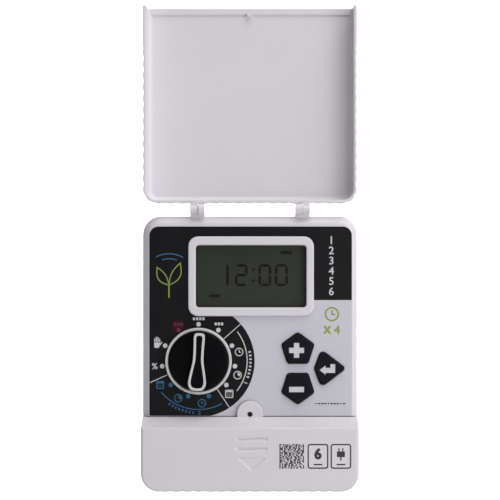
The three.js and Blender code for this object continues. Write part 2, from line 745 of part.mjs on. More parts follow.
function dialWiper() {
  const hub = facing(disc(0, 0, 4), ROTOR_BACK_Y + 1.1, ROTOR_BACK_Y + 0.1);
  const finger = facing(rectangle(-1.2, 1.2, 0, 12.4, 1), ROTOR_BACK_Y + 1.1, ROTOR_BACK_Y + 0.6);
  return join([hub, finger]);
}

function detentSpring() {
  const leafX = DIAL_X + ROTOR_RADIUS + 0.5;
  const leaf = rectangle(leafX, leafX + 0.6, DIAL_Z - 9, DIAL_Z + 9);
  const foot = rectangle(leafX, leafX + 3, DIAL_Z + 8.4, DIAL_Z + 9);
  return join([facing(leaf, PART_BACK_Y, ROTOR_FRONT_Y), facing(foot, PART_BACK_Y, ROTOR_FRONT_Y)]);
}

function dialClip() {
  const ring = facing(disc(0, 0, 7.2), -18.6, -19.5, [disc(0, 0, STEM_RADIUS + 0.15)]);
  return cut(ring, [facing(rectangle(-2.4, 2.4, -9, -1), -17, -21)]);
}

// ================================================================ key pieces
function keyButton(key) {
  const cap = facing(key.outline, FLANGE_FRONT_Y + 0.5, KEY_TOP_Y);
  const flange = facing(offset(key.outline, KEY_FLANGE), FLANGE_BACK_Y, FLANGE_FRONT_Y);
  const plunger = post([key.centre.x, key.centre.z], PLUNGER_RADIUS, PLUNGER_END_Y, FLANGE_BACK_Y - 0.5);
  return join([cap, flange, plunger]);
}

function contactPill(key) {
  return post([key.centre.x, key.centre.z], PILL_RADIUS, PILL_END_Y, PLUNGER_END_Y + 0.05, 12);
}

function keypadMat() {
  const sheet = facing(rectangle(15, 49.6, -33, 13, 2), PART_BACK_Y, -8.8);
  const collars = keys.map((key) => post([key.centre.x, key.centre.z], 5.6, PART_BACK_Y, -12));
  const wells = keys.map((key) => post([key.centre.x, key.centre.z], 4.2, SEAM_Y + 4, -13));
  return cut(join([sheet, ...collars]), wells);
}

// ================================================================ electronics pieces
function circuitBoard() {
  const holes = BOARD_SCREW_SPOTS.map((spot) => disc(spot[0], spot[1], 1.7, 12));
  const outline = rectangle(-BOARD_HALF_WIDTH, BOARD_HALF_WIDTH, BOARD_BOTTOM_Z, BOARD_TOP_Z, 2);
  return facing(outline, BOARD_BACK_Y, BOARD_FRONT_Y, holes);
}

function boardPackage(x, z, halfWidth, halfHeight, thickness) {
  return facing(centredRectangle(x, z, halfWidth, halfHeight, 0.3), PART_BACK_Y, PART_BACK_Y - thickness);
}

function boardScrew(spot) {
  return join([post(spot, 2.6, PART_BACK_Y, -9.3), post(spot, 1.15, -3.2, -8.5, 12)]);
}

function batteryHolder() {
  const body = facing(centredRectangle(0, BATTERY_Z, 12.2, 12.2, 3), PART_BACK_Y, -12.4);
  return cut(body, [facing(disc(0, BATTERY_Z, COIN_RADIUS + GAP, 32), -8.4, -13.4)]);
}

function terminalX(index) {
  return (index - (TERMINAL_COUNT - 1) / 2) * TERMINAL_PITCH;
}

function terminalBlock() {
  const halfWidth = (TERMINAL_COUNT * TERMINAL_PITCH) / 2 + 0.4;
  const low = TERMINAL_BLOCK_Z - TERMINAL_BLOCK_HALF_HEIGHT;
  const body = facing(
    centredRectangle(0, TERMINAL_BLOCK_Z, halfWidth, TERMINAL_BLOCK_HALF_HEIGHT, 0.4),
    PART_BACK_Y,
    TERMINAL_BLOCK_FRONT_Y,
  );
  const tools = [];
  for (let i = 0; i < TERMINAL_COUNT; i += 1) {
    const x = terminalX(i);
    tools.push(post([x, TERMINAL_BLOCK_Z + 1], 2, -12, TERMINAL_BLOCK_FRONT_Y - CUT_EXTRA, 12));
    tools.push(facing(rectangle(x - 1.7, x + 1.7, low - CUT_EXTRA, low + 4), -9.4, -12.8));
  }
  return cut(body, tools);
}

function terminalScrew(index) {
  const spot = [terminalX(index), TERMINAL_BLOCK_Z + 1];
  const slot = facing(
    centredRectangle(spot[0], spot[1], 2, 0.3),
    -16.4,
    TERMINAL_BLOCK_FRONT_Y,
  );
  return cut(post(spot, 1.7, -13.2, -17.2, 12), [slot]);
}

function fuse() {
  const tube = across(disc(FUSE_Y, FUSE_Z, FUSE_TUBE_RADIUS, 12), 14, 32);
  const caps = [[12, 16.5], [29.5, 34]].map(([from, to]) =>
    across(disc(FUSE_Y, FUSE_Z, FUSE_CAP_RADIUS, 12), from, to));
  return join([tube, ...caps]);
}

function triac(index) {
  const x = -46 + index * 8;
  return facing(rectangle(x - 2.4, x + 2.4, -47.4, -43.6, 1.6, 0.6), PART_BACK_Y, -13);
}

// ================================================================ assembly
addNode("rear_case", rearCase(), plastic(WHITE));
addNode("front_case", frontCase(), plastic(WHITE));
addNode("fascia_label", fasciaLabel(), plastic(0x17171a, 0.5));
addNode("cover", cover(), plastic(0xdedee2));
addNode("hinge_pin_left", pivotRod(PIN_RADIUS, -ARM_OUTER_X + GAP, -LUG_INNER_X), metal(STEEL));
addNode("hinge_pin_right", pivotRod(PIN_RADIUS, LUG_INNER_X, ARM_OUTER_X - GAP), metal(STEEL));
addNode("terminal_cover", terminalCover(), plastic(WHITE));
addNode(
  "terminal_cover_screw",
  post([0, TAB_Z], RELEASE_SCREW_RADIUS, RELEASE_SCREW_END_Y, RELEASE_SCREW_FRONT_Y, 12),
  metal(0x26272a, 0.5),
);
CASE_SCREW_SPOTS.forEach((spot, i) => addNode(`case_screw_${i + 1}`, caseScrew(spot), metal(STEEL)));

const lensOutline = offset(windowOutline, LENS_MARGIN);
addNode("display_window", facing(lensOutline, LENS_BACK_Y, LENS_FRONT_Y), plastic(0x5c5f55, 0.1));
addNode("lcd_panel", facing(lensOutline, GLASS_BACK_Y, GLASS_FRONT_Y), plastic(0x4a4c42, 0.2));
addNode("lcd_holder", displayHolder(), plastic(0xd0d0d0));
addNode("lcd_connector", displayConnector(), plastic(0x2a2a2c, 0.8));

const dial = new THREE.Group();
dial.position.set(DIAL_X, 0, DIAL_Z);
dial.rotation.y = DIAL_TURN;
part.add(dial);
addNode("dial_knob", dialKnob(), plastic(BLACK), dial);
addNode("dial_ring", dialRing(), plastic(0xf0f0f0), dial);
addNode("dial_outline", gripInlay(), plastic(0xf0f0f0), dial);
addNode("dial_rotor", dialRotor(), plastic(0xcfcfcf), dial);
addNode("dial_wiper", dialWiper(), metal(0xc9a55a), dial);
addNode("dial_clip", dialClip(), metal(STEEL), dial);
addNode("detent_spring", detentSpring(), metal(STEEL));

addNode("keypad_mat", keypadMat(), plastic(0x3a3a3c, 0.8));
keys.forEach((key) => {
  addNode(`${key.name}_button`, keyButton(key), plastic(BLACK, 0.7));
  addNode(`${key.name}_contact`, contactPill(key), plastic(0x202022, 0.9));
});

addNode("circuit_board", circuitBoard(), plastic(0x1f5a36, 0.5));
BOARD_SCREW_SPOTS.forEach((spot, i) => addNode(`board_screw_${i + 1}`, boardScrew(spot), metal(STEEL)));
addNode("microcontroller", boardPackage(0, 8, 6, 6, 1.6), plastic(0x1b1b1d, 0.6));
addNode("filter_capacitor", post([-38, -29], 5, PART_BACK_Y, -18.2), metal(0x9aa0a8));
addNode("rectifier", boardPackage(-22, -29, 4.3, 3.3, 3.2), plastic(0x1b1b1d, 0.6));
addNode("fuse", fuse(), metal(0xc8cdd2));
addNode("battery_holder", batteryHolder(), plastic(0x1b1b1d, 0.7));
addNode("coin_cell", facing(disc(0, BATTERY_Z, COIN_RADIUS, 32), -8.5, -11.7), metal(0xc6c8cb));
for (let i = 0; i < TRIAC_COUNT; i += 1) addNode(`triac_${i + 1}`, triac(i), plastic(0x1b1b1d, 0.6));
addNode("terminal_block", terminalBlock(), plastic(0x2d7a4b, 0.6));
for (let i = 0; i < TERMINAL_COUNT; i += 1) {
  addNode(`terminal_screw_${i + 1}`, terminalScrew(i), metal(STEEL));
}

export default part;
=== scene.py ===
# Looks of a wall-mounted irrigation controller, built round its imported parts.
import math
import random

import bmesh
import bpy
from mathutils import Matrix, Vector


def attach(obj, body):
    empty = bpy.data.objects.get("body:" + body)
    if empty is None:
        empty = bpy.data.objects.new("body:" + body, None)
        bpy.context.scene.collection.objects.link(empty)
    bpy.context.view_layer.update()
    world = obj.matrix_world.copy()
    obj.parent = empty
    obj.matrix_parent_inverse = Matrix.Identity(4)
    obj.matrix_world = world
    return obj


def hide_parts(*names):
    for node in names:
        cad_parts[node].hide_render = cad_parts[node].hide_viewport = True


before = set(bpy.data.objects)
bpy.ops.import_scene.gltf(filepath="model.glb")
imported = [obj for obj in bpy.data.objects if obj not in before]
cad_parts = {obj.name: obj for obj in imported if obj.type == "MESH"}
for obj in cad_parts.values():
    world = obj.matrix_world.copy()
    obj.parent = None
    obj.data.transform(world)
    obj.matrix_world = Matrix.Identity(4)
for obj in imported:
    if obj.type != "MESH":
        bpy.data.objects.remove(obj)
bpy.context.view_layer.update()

MM = 0.001

# ---------------------------------------------------------------- dimensions, millimetres
CASE_HALF = (65.0, 82.3)
CASE_CORNER = 10.9
SEAM_Y = -10.0
SHOULDER_Y = -19.0
PANEL_Y = -22.0
PANEL_HALF_X = 61.1
PANEL_TOP_Z = 78.4
PANEL_CORNER = 7.0
FRAME_Y = -24.0
LABEL_LEFT, LABEL_RIGHT = -60.8, 61.6
LABEL_LOW_Z, LABEL_TOP_Z = -38.3, 76.1
LABEL_CORNER = 5.4
LABEL_BACK_Y = -22.05
LABEL_Y = -22.3
FILM_Y = -22.33
INK_Y = -22.37
DISPLAY = (0.6, 46.0)
FRAME_HALF = (38.0, 24.1)
WINDOW_HALF = (33.4, 18.8)
WINDOW_CORNER = 2.0
WINDOW_OVERLAP = 2.0
GLASS_Y = -19.3
DIAL = (-31.1, -5.2)
DIAL_HOLE = 6
DIAL_TURN = math.radians(3)
DIAL_STEP = 2 * math.pi / 11
DOT_ORBIT = 22.2
SPOKE_START = 20.3
ARC_ORBIT = 29.4
NUMBER_ORBIT = 31.4
BLACK_RADIUS = 33.9
PLUS_KEY = (28.9, 1.7)
MINUS_KEY = (28.9, -21.1)
ENTER_KEY = (45.6, -9.7)
KEY_TOP_Y = -24.2
INK_STEP = 0.01
MARK_LINE = 0.55
TAB_CENTRE = (0.0, -37.2)
TAB_RADIUS = 8.0
TERMINAL_REAR_Y = -10.3
TERMINAL_TOP_Z = -38.9
TERMINAL_WALL = 2.2
TERMINAL_MARK_DEPTH = 0.4
SLOPE_START_Y = -25.2
SLOPE_RUN, SLOPE_FALL = 12.8, 5.3
TERMINAL_FRONT_Y = -37.95
TERMINAL_INK_Y = -37.99
COVER_HALF = 64.8
COVER_LOW_Z = 90.2
COVER_HIGH_Z = 209.9
COVER_CORNER = 8.4
COVER_WALL = 2.1
COVER_BACK_Y = -6.0
COVER_PLATE_Y = -8.0
COVER_RIM_Y = -22.9
FLUTE_PITCH = 6.95
FLUTE_DEPTH = 0.6
HINGE = (-22.0, 86.5)
ARM_X = (31.8, 36.2)
ARM_RADIUS = 2.8
NECK_HALF = 1.7
COLLAR_X = (31.52, 32.0)
COLLAR_RADIUS = 2.4
PIN_BORE_RADIUS = 1.4


# ================================================================ materials
GLOSS_SPREAD = 0.08


def noise_of(nodes, links, coords, scale, detail):
    noise = nodes.new("ShaderNodeTexNoise")
    noise.inputs["Scale"].default_value = scale
    noise.inputs["Detail"].default_value = detail
    noise.inputs["Roughness"].default_value = 0.6
    links.new(coords.outputs["Object"], noise.inputs["Vector"])
    return noise


def finish_of(name, color, roughness, metallic=0.0, grain=900.0, bump=0.02, spread=0.05,
              alpha=1.0, cloud=35.0, specular=0.5):
    """A plastic, rubber or metal finish: cloudy colour, uneven gloss and a fine moulded grain."""
    mat = bpy.data.materials.new(name)
    mat.use_nodes = True
    nodes, links = mat.node_tree.nodes, mat.node_tree.links
    shader = nodes["Principled BSDF"]
    shader.inputs["Metallic"].default_value = metallic
    shader.inputs["Specular IOR Level"].default_value = specular
    shader.inputs["Alpha"].default_value = alpha
    coords = nodes.new("ShaderNodeTexCoord")
    clouds = noise_of(nodes, links, coords, cloud, 4.0)
    ramp = nodes.new("ShaderNodeValToRGB")
    ramp.color_ramp.elements[0].position = 0.25
    ramp.color_ramp.elements[1].position = 0.75
    ramp.color_ramp.elements[0].color = [c * (1 - spread) for c in color] + [1]
    ramp.color_ramp.elements[1].color = [min(1, c * (1 + spread)) for c in color] + [1]
    links.new(clouds.outputs["Fac"], ramp.inputs["Fac"])
    links.new(ramp.outputs["Color"], shader.inputs["Base Color"])
    gloss = nodes.new("ShaderNodeMapRange")
    gloss.inputs["To Min"].default_value = max(0.02, roughness - GLOSS_SPREAD)
    gloss.inputs["To Max"].default_value = min(1.0, roughness + GLOSS_SPREAD)
    smears = noise_of(nodes, links, coords, cloud * 3.1, 3.0)
    links.new(smears.outputs["Fac"], gloss.inputs["Value"])
    links.new(gloss.outputs["Result"], shader.inputs["Roughness"])
    fine = noise_of(nodes, links, coords, grain, 2.0)
    relief = nodes.new("ShaderNodeBump")
    relief.inputs["Strength"].default_value = bump
    relief.inputs["Distance"].default_value = 0.0002
    links.new(fine.outputs["Fac"], relief.inputs["Height"])
    links.new(relief.outputs["Normal"], shader.inputs["Normal"])
    return mat


FINISHES = {name: finish_of(name, *values, **extra) for name, values, extra in (
    ("white_shell", ((0.70, 0.672, 0.705), 0.42), dict(spread=0.02, bump=0.06, cloud=14)),
    ("label_black", ((0.0045, 0.0042, 0.0055), 0.42), dict(spread=0.2, bump=0.03, specular=0.2)),
    ("label_pale", ((0.585, 0.575, 0.63), 0.40), dict(spread=0.02, bump=0.03, cloud=14)),
    ("print_white", ((0.60, 0.60, 0.62), 0.5), dict(spread=0.06)),
    ("print_green", ((0.27, 0.34, 0.08), 0.5), dict(spread=0.08)),
    ("print_blue", ((0.025, 0.12, 0.27), 0.5), dict(spread=0.10)),
    ("print_red", ((0.047, 0.0035, 0.012), 0.5), dict(spread=0.10, specular=0.15)),
    ("print_dark", ((0.03, 0.028, 0.033), 0.5), dict(spread=0.15)),
    ("knob_black", ((0.0016, 0.0016, 0.0025), 0.36), dict(spread=0.2, bump=0.05, specular=0.10)),
    ("knob_white", ((0.62, 0.62, 0.62), 0.38), dict(spread=0.03)),
    ("black_rubber", ((0.004, 0.004, 0.006), 0.6), dict(spread=0.2, bump=0.12, specular=0.16)),
    ("lens_clear", ((0.02, 0.022, 0.018), 0.08), dict(spread=0.05, bump=0.0, alpha=0.14, specular=0.15)),
    ("lcd_olive", ((0.042, 0.047, 0.034), 0.4), dict(spread=0.06, cloud=22)),
    ("inner_plastic", ((0.50, 0.50, 0.50), 0.5), dict(spread=0.05)),
    ("dark_plastic", ((0.018, 0.018, 0.020), 0.5), dict(spread=0.2, bump=0.1)),
    ("board_green", ((0.015, 0.11, 0.04), 0.35), dict(spread=0.25, cloud=240, grain=1500)),
    ("terminal_green", ((0.02, 0.18, 0.07), 0.4), dict(spread=0.08)),
    ("steel", ((0.50, 0.51, 0.53), 0.32), dict(metallic=1.0, spread=0.08, cloud=160)),
    ("black_steel", ((0.012, 0.012, 0.013), 0.45), dict(metallic=0.6, spread=0.2)),
    ("can_aluminium", ((0.60, 0.62, 0.65), 0.3), dict(metallic=1.0, spread=0.06, cloud=120)),
    ("contact_brass", ((0.60, 0.42, 0.16), 0.35), dict(metallic=1.0, spread=0.08)),
)}


# ================================================================ outlines, (across, up) in millimetres
def rounded(corners, steps=8):
    """Corners as (across, up, radius), joined by straight sides and tangent arcs."""
    points = []
    for i, (x, z, radius) in enumerate(corners):
        corner = Vector((x, z))
        if radius == 0:
            points.append(corner)
            continue
        to_before = (Vector(corners[i - 1][:2]) - corner).normalized()
        to_after = (Vector(corners[(i + 1) % len(corners)][:2]) - corner).normalized()
        half = to_before.angle(to_after) / 2
        centre = corner + (to_before + to_after).normalized() * radius / math.sin(half)
        start = corner + to_before * radius / math.tan(half) - centre
        end = corner + to_after * radius / math.tan(half) - centre
        turn = math.atan2(start.x * end.y - start.y * end.x, start.dot(end))
        first = math.atan2(start.y, start.x)
        for k in range(steps + 1):
            angle = first + turn * k / steps
            points.append(centre + Vector((math.cos(angle), math.sin(angle))) * radius)
    return points


def box_outline(x, z, half_x, half_z, radius=0.0, steps=8):
    return rounded([(x - half_x, z - half_z, radius), (x + half_x, z - half_z, radius),
                    (x + half_x, z + half_z, radius), (x - half_x, z + half_z, radius)], steps)


def disc(x, z, radius, sides=32):
    angles = (2 * math.pi * i / sides for i in range(sides))
    return [Vector((x + radius * math.cos(a), z + radius * math.sin(a))) for a in angles]


def area_of(points):
    return sum(a.x * b.y - b.x * a.y for a, b in zip(points, points[1:] + points[:1])) / 2


def offset(points, distance):
    """The outline moved out by a distance on every side, or in if it is negative."""
    outward = 1 if area_of(points) > 0 else -1
    moved = []
    for i, p in enumerate(points):
        before, after = points[i - 1], points[(i + 1) % len(points)]
        a = Vector((p.y - before.y, before.x - p.x)).normalized() * outward
        b = Vector((after.y - p.y, p.x - after.x)).normalized() * outward
        moved.append(p + (a + b) * distance / (1 + a.dot(b)))
    return moved


def stroke(points, width, closed=False):
    """A line of that width along the points, as (outline, holes)."""
    points = [Vector(p) for p in points]
    if closed:
        return offset(points, width / 2), [offset(points, -width / 2)]
    sides = []
    for i, p in enumerate(points):
        a = (p - points[i - 1]).normalized() if i else None
        b = (points[i + 1] - p).normalized() if i + 1 < len(points) else None
        along = (a or b) if not (a and b) else (a + b).normalized()
        spread = width / 2 / (along.dot(a) if a and b else 1)
        sides.append(Vector((-along.y, along.x)) * spread)
    return [p + s for p, s in zip(points, sides)] + [p - s for p, s in zip(points, sides)][::-1], []


def on_clock(centre, radius, degrees):
    """The point at an angle counted clockwise from the top."""
    angle = math.radians(degrees)
    return Vector((centre[0] + radius * math.sin(angle), centre[1] + radius * math.cos(angle)))


def clock_arc(centre, radius, start, end, width, steps=24):
    angles = (start + (end - start) * i / steps for i in range(steps + 1))
    return stroke([on_clock(centre, radius, angle) for angle in angles], width)


def turned(points, centre, angle):
    """Points turned clockwise, as seen from the front, about a centre."""
    c, s = math.cos(angle), math.sin(angle)
    cx, cz = centre
    return [Vector((cx + (p.x - cx) * c + (p.y - cz) * s, cz - (p.x - cx) * s + (p.y - cz) * c))
            for p in points]


# ================================================================ meshes
def smooth_by_angle(bm, degrees=32):
    for face in bm.faces:
        face.smooth = True
    for edge in bm.edges:
        edge.smooth = len(edge.link_faces) == 2 and edge.calc_face_angle(0) < math.radians(degrees)


def object_from(bm, name, body, slot, replaces=(), degrees=32):
    bmesh.ops.recalc_face_normals(bm, faces=bm.faces)
    smooth_by_angle(bm, degrees)
    mesh = bpy.data.meshes.new(name)
    bm.to_mesh(mesh)
    bm.free()
    obj = bpy.data.objects.new(name, mesh)
    bpy.context.scene.collection.objects.link(obj)
    mesh.materials.append(FINISHES[slot])
    even = obj.modifiers.new("even_normals", "WEIGHTED_NORMAL")
    even.keep_sharp = True
    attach(obj, body)
    if replaces:
        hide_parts(*replaces)
    return obj


def add_layers(bm, outline, levels, holes=()):
    """A closed solid from an outline with holes. levels are (depth, inset), from the back to the front."""
    loops = []
    for points, sign in [(outline, -1)] + [(hole, 1) for hole in holes]:
        rings = []
        for y, inset in levels:
            moved = offset(points, sign * inset) if inset else points
            rings.append([bm.verts.new((p.x * MM, y * MM, p.y * MM)) for p in moved])
        for low, high in zip(rings, rings[1:]):
            for i in range(len(points)):
                j = (i + 1) % len(points)
                bm.faces.new((low[i], low[j], high[j], high[i]))
        loops.append(rings)
    for level in (0, -1):
        ends = [rings[level] for rings in loops]
        if len(ends) == 1:
            bm.faces.new(ends[0])
            continue
        rims = [bm.edges.get((a, b)) for ring in ends for a, b in zip(ring, ring[1:] + ring[:1])]
        bmesh.ops.triangle_fill(bm, use_beauty=True, use_dissolve=False, edges=rims)


def edge_levels(back, front, back_radius, front_radius, steps=4):
    """Levels for straight sides with a quarter-round at each end."""
    levels = []
    way = 1 if front > back else -1
    if back_radius:
        for k in range(steps + 1):
            a = math.pi / 2 * k / steps
            levels.append((back + way * back_radius * (1 - math.cos(a)), back_radius * (1 - math.sin(a))))
    else:
        levels.append((back, 0))
    if front_radius:
        for k in range(steps + 1):
            a = math.pi / 2 * k / steps
            levels.append((front - way * front_radius * (1 - math.sin(a)), front_radius * (1 - math.cos(a))))
    else:
        levels.append((front, 0))
    return levels


def layered(name, body, slot, outline, levels, holes=(), replaces=(), degrees=32):
    bm = bmesh.new()
    add_layers(bm, outline, levels, holes)
    return object_from(bm, name, body, slot, replaces, degrees)


def printed(name, body, slot, shapes, back, front, finish=None):
    """Flat ink marks: shapes are (outline, holes)."""
    bm = bmesh.new()
    for outline, holes in shapes:
        add_layers(bm, outline, [(back, 0), (front, 0)], holes)
    obj = object_from(bm, name, body, slot)
    if finish:
        obj.data.materials[0] = finish
    return obj


def refined(node, body, slot, bevels):
    """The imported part's own shape with its flat faces made whole and its edges rounded.
    bevels are (test on an edge's two ends in mm, width, segments)."""
    bm = bmesh.new()
    bm.from_mesh(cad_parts[node].data)
    bmesh.ops.remove_doubles(bm, verts=bm.verts, dist=2e-6)
    bmesh.ops.dissolve_limit(bm, angle_limit=math.radians(0.6), verts=bm.verts, edges=bm.edges)
    for test, width, segments in bevels:
        edges = []
        for edge in bm.edges:
            if len(edge.link_faces) != 2 or edge.calc_face_angle_signed(0) < math.radians(33):
                continue
            if test(edge.verts[0].co / MM, edge.verts[1].co / MM):
                edges.append(edge)
        bmesh.ops.bevel(bm, geom=edges, offset=width * MM, offset_type="OFFSET", segments=segments,
                        profile=0.5, affect="EDGES", clamp_overlap=False, material=-1)
    bmesh.ops.remove_doubles(bm, verts=bm.verts, dist=1e-6)
    return object_from(bm, node + "_skin", body, slot, [node])


def at_depth(y, tolerance=0.02):
    return lambda a, b: abs(a.y - y) < tolerance and abs(b.y - y) < tolerance


# ================================================================ housing
def near_outline(x, z, half_x, half_z, corner):
    """Whether a point lies on a rounded rectangle, to within a tenth of a millimetre or so."""
    dx, dz = abs(x) - (half_x - corner), z - (half_z - corner)
    if dx > 0 and dz > 0:
        return abs(math.hypot(dx, dz) - corner) < 0.15
    return abs(abs(x) - half_x) < 0.1 or abs(z - half_z) < 0.1


def outside_of_body(a, b):
    """On the outer outline of the body: the sides, the top and the bottom."""
    return all(near_outline(p.x, abs(p.z), *CASE_HALF, CASE_CORNER) for p in (a, b))


def on_panel_edge(a, b):
    """On the line where the flat panel meets the sloped shoulder."""
    on_line = all(near_outline(p.x, p.z, PANEL_HALF_X, PANEL_TOP_Z, PANEL_CORNER) for p in (a, b))
    return at_depth(PANEL_Y)(a, b) and on_line


def rim_at(y):
    """The body's outer edges at a depth."""
    return lambda a, b: at_depth(y)(a, b) and outside_of_body(a, b)


refined("rear_case", "housing", "white_shell", [
    (rim_at(0), 1.6, 4),
    (rim_at(SEAM_Y), 0.3, 2),
])
refined("front_case", "housing", "white_shell", [
    (rim_at(SHOULDER_Y), 1.2, 5),
    (rim_at(SEAM_Y), 0.3, 2),
    (on_panel_edge, 1.0, 4),
    (at_depth(FRAME_Y), 0.9, 4),
    (lambda a, b: min(a.z, b.z) > CASE_HALF[1] + 0.2 and abs(a.x - b.x) < 0.01, 0.35, 3),
])


def label_outline():
    return rounded([(LABEL_LEFT, LABEL_LOW_Z, 1), (LABEL_RIGHT, LABEL_LOW_Z, 1),
                    (LABEL_RIGHT, LABEL_TOP_Z, LABEL_CORNER), (LABEL_LEFT, LABEL_TOP_Z, LABEL_CORNER)])


def window_outline():
    return box_outline(*DISPLAY, *WINDOW_HALF, WINDOW_CORNER)


def pentagon(centre, way, radius=10.25, corner=1.5):
    return rounded([(centre[0] + radius * math.cos(math.pi / 2 + i * 2 * math.pi / 5),
                     centre[1] + way * radius * math.sin(math.pi / 2 + i * 2 * math.pi / 5), corner)
                    for i in range(5)], 5)


KEYS = {
    "plus": pentagon(PLUS_KEY, 1),
    "minus": pentagon(MINUS_KEY, -1),
    "enter": rounded([(43.2, 1.4, 2.2), (39, -9.7, 1.5), (43.2, -20.8, 2.2), (57.7, -9.7, 1.5)], 6),
}


def notched_label():
    """The label's outline with its round cut-out above the tab."""
    tab, radius = Vector(TAB_CENTRE), TAB_RADIUS + 0.5
    drop = LABEL_LOW_Z - tab.y
    reach = math.sqrt(radius ** 2 - drop ** 2)
    first = math.atan2(drop, -reach)
    last = math.atan2(drop, reach)
    notch = [tab + Vector((math.cos(a), math.sin(a))) * radius
             for a in (first + 2 * math.pi + (last - first - 2 * math.pi) * k / 24 for k in range(25))]
    outline = label_outline()
    cut_at = next(i for i, p in enumerate(outline) if p.x > 0)
    return outline[:cut_at] + notch + outline[cut_at:]


layered("label_base", "housing", "label_pale", notched_label(), [(LABEL_BACK_Y, 0), (LABEL_Y, 0)],
        [offset(box_outline(*DISPLAY, *FRAME_HALF, 6), 0.3), disc(*DIAL, DIAL_HOLE)]
        + [offset(outline, 0.6) for outline in KEYS.values()], ["fascia_label"])


def black_zone():
    """The dark field: the top and left of the label, then a round end about the dial."""
    start = math.degrees(math.atan2(20.15, 27.5))
    end = math.degrees(math.atan2(7.0, -33.1))
    arc = [on_clock(DIAL, BLACK_RADIUS, start + (end - start) * k / 40) for k in range(41)]
    corners = rounded([(LABEL_RIGHT, LABEL_TOP_Z, LABEL_CORNER), (LABEL_LEFT, LABEL_TOP_Z, LABEL_CORNER),
                       (LABEL_LEFT, LABEL_LOW_Z, 1), (20, LABEL_LOW_Z, 0), (LABEL_RIGHT, LABEL_LOW_Z, 0)])
    steps_under_frame = [(-10.9, 24.4), (36.4, 24.4), (36.4, 31.6), (LABEL_RIGHT, 31.6)]
    return corners[:-3] + arc[::-1] + [Vector(p) for p in steps_under_frame]


printed("label_dark_field", "housing", "label_black",
        [(black_zone(), [offset(window_outline(), 1.0), disc(*DIAL, DIAL_HOLE)])],
        LABEL_Y + INK_STEP, FILM_Y)


# ---------------------------------------------------------------- printed marks on the label
def clock_shapes(centre, radius, width):
    x, z = centre
    hands = stroke([(x, z + radius * 0.62), (x, z), (x + radius * 0.5, z - radius * 0.12)], width)
    return [stroke(disc(*centre, radius, 24), width, closed=True), hands]


def duration_shapes(centre, radius, width):
    """A clock face with a filled wedge, for the length of a run."""
    wedge = [Vector(centre)] + [on_clock(centre, radius * 0.72, a) for a in range(0, 121, 12)]
    return [stroke(disc(*centre, radius, 24), width, closed=True), (wedge, [])]


def calendar_shapes(centre, half, width):
    x, z = centre
    shapes = [stroke(box_outline(x, z, half, half, 0.4, 3), width, closed=True),
              (box_outline(x, z + half * 0.62, half * 0.8, half * 0.18), [])]
    for column in (-1, 0, 1):
        for row in (0, 1):
            spot = x + column * half * 0.5, z - half * (0.02 + 0.5 * row)
            shapes.append((box_outline(*spot, 0.22, 0.22), []))
    return shapes


def hand_shapes(centre, size):
    """An open hand: a rounded palm, four fingers and a thumb."""
    x, z = centre
    shapes = [(rounded([(x - size * 0.5, z - size, 0.7), (x + size * 0.4, z - size, 0.7),
                        (x + size * 0.55, z, 0.3), (x - size * 0.55, z, 0.3)], 3), [])]
    for k, length in enumerate((0.7, 0.95, 0.9, 0.6)):
        middle = x + size * (-0.43 + 0.3 * k)
        shapes.append((box_outline(middle, z + size * (0.08 + length / 2), size * 0.1, size * length / 2,
                                   size * 0.1, 3), []))
    thumb = stroke([(x + size * 0.45, z - size * 0.55), (x + size * 0.9, z + size * 0.1)], size * 0.24)
    return shapes + [thumb]


def text_shapes(text, centre, height, turn=0.0, weight=0.0):
    """Generic figures drawn with the built-in font, as flat outlines about a centre."""
    curve = bpy.data.curves.new("figures", "FONT")
    curve.body = text
    curve.size = 10
    curve.resolution_u = 3
    curve.fill_mode = "NONE"
    holder = bpy.data.objects.new("figures", curve)
    bpy.context.scene.collection.objects.link(holder)
    bpy.context.view_layer.update()
    mesh = bpy.data.meshes.new_from_object(holder.evaluated_get(bpy.context.evaluated_depsgraph_get()))
    bm = bmesh.new()
    bm.from_mesh(mesh)
    bmesh.ops.remove_doubles(bm, verts=bm.verts, dist=1e-4)
    loops = []
    left = set(bm.verts)
    while left:
        at = left.pop()
        loop = [at]
        while True:
            step = next((e.other_vert(at) for e in at.link_edges if e.other_vert(at) in left), None)
            if step is None:
                break
            left.discard(step)
            loop.append(step)
            at = step
        if len(loop) > 2:
            loops.append([Vector((v.co.x, v.co.y)) for v in loop])
    bm.free()
    bpy.data.objects.remove(holder)
    bpy.data.meshes.remove(mesh)
    bpy.data.curves.remove(curve)
    low = Vector((min(p.x for l in loops for p in l), min(p.y for l in loops for p in l)))
    high = Vector((max(p.x for l in loops for p in l), max(p.y for l in loops for p in l)))
    middle, scale = (low + high) / 2, height / (high.y - low.y)
    placed = [turned([Vector(centre) + (p - middle) * scale for p in loop], centre, turn) for loop in loops]
    placed.sort(key=lambda loop: -abs(area_of(loop)))
    shapes = []
    for loop in placed:
        parent = next((s for s in shapes if inside(loop[0], s[0])), None)
        if parent:
            parent[1].append(offset(loop, -weight))
        else:
            shapes.append((offset(loop, weight), []))
    return shapes


def inside(p, outline):
    odd = False
    for a, b in zip(outline, outline[1:] + outline[:1]):
        if (a.y > p.y) != (b.y > p.y) and p.x < (b.x - a.x) * (p.y - a.y) / (b.y - a.y) + a.x:
            odd = not odd
    return odd


def dial_angle(step):
    return math.degrees(step * DIAL_STEP)


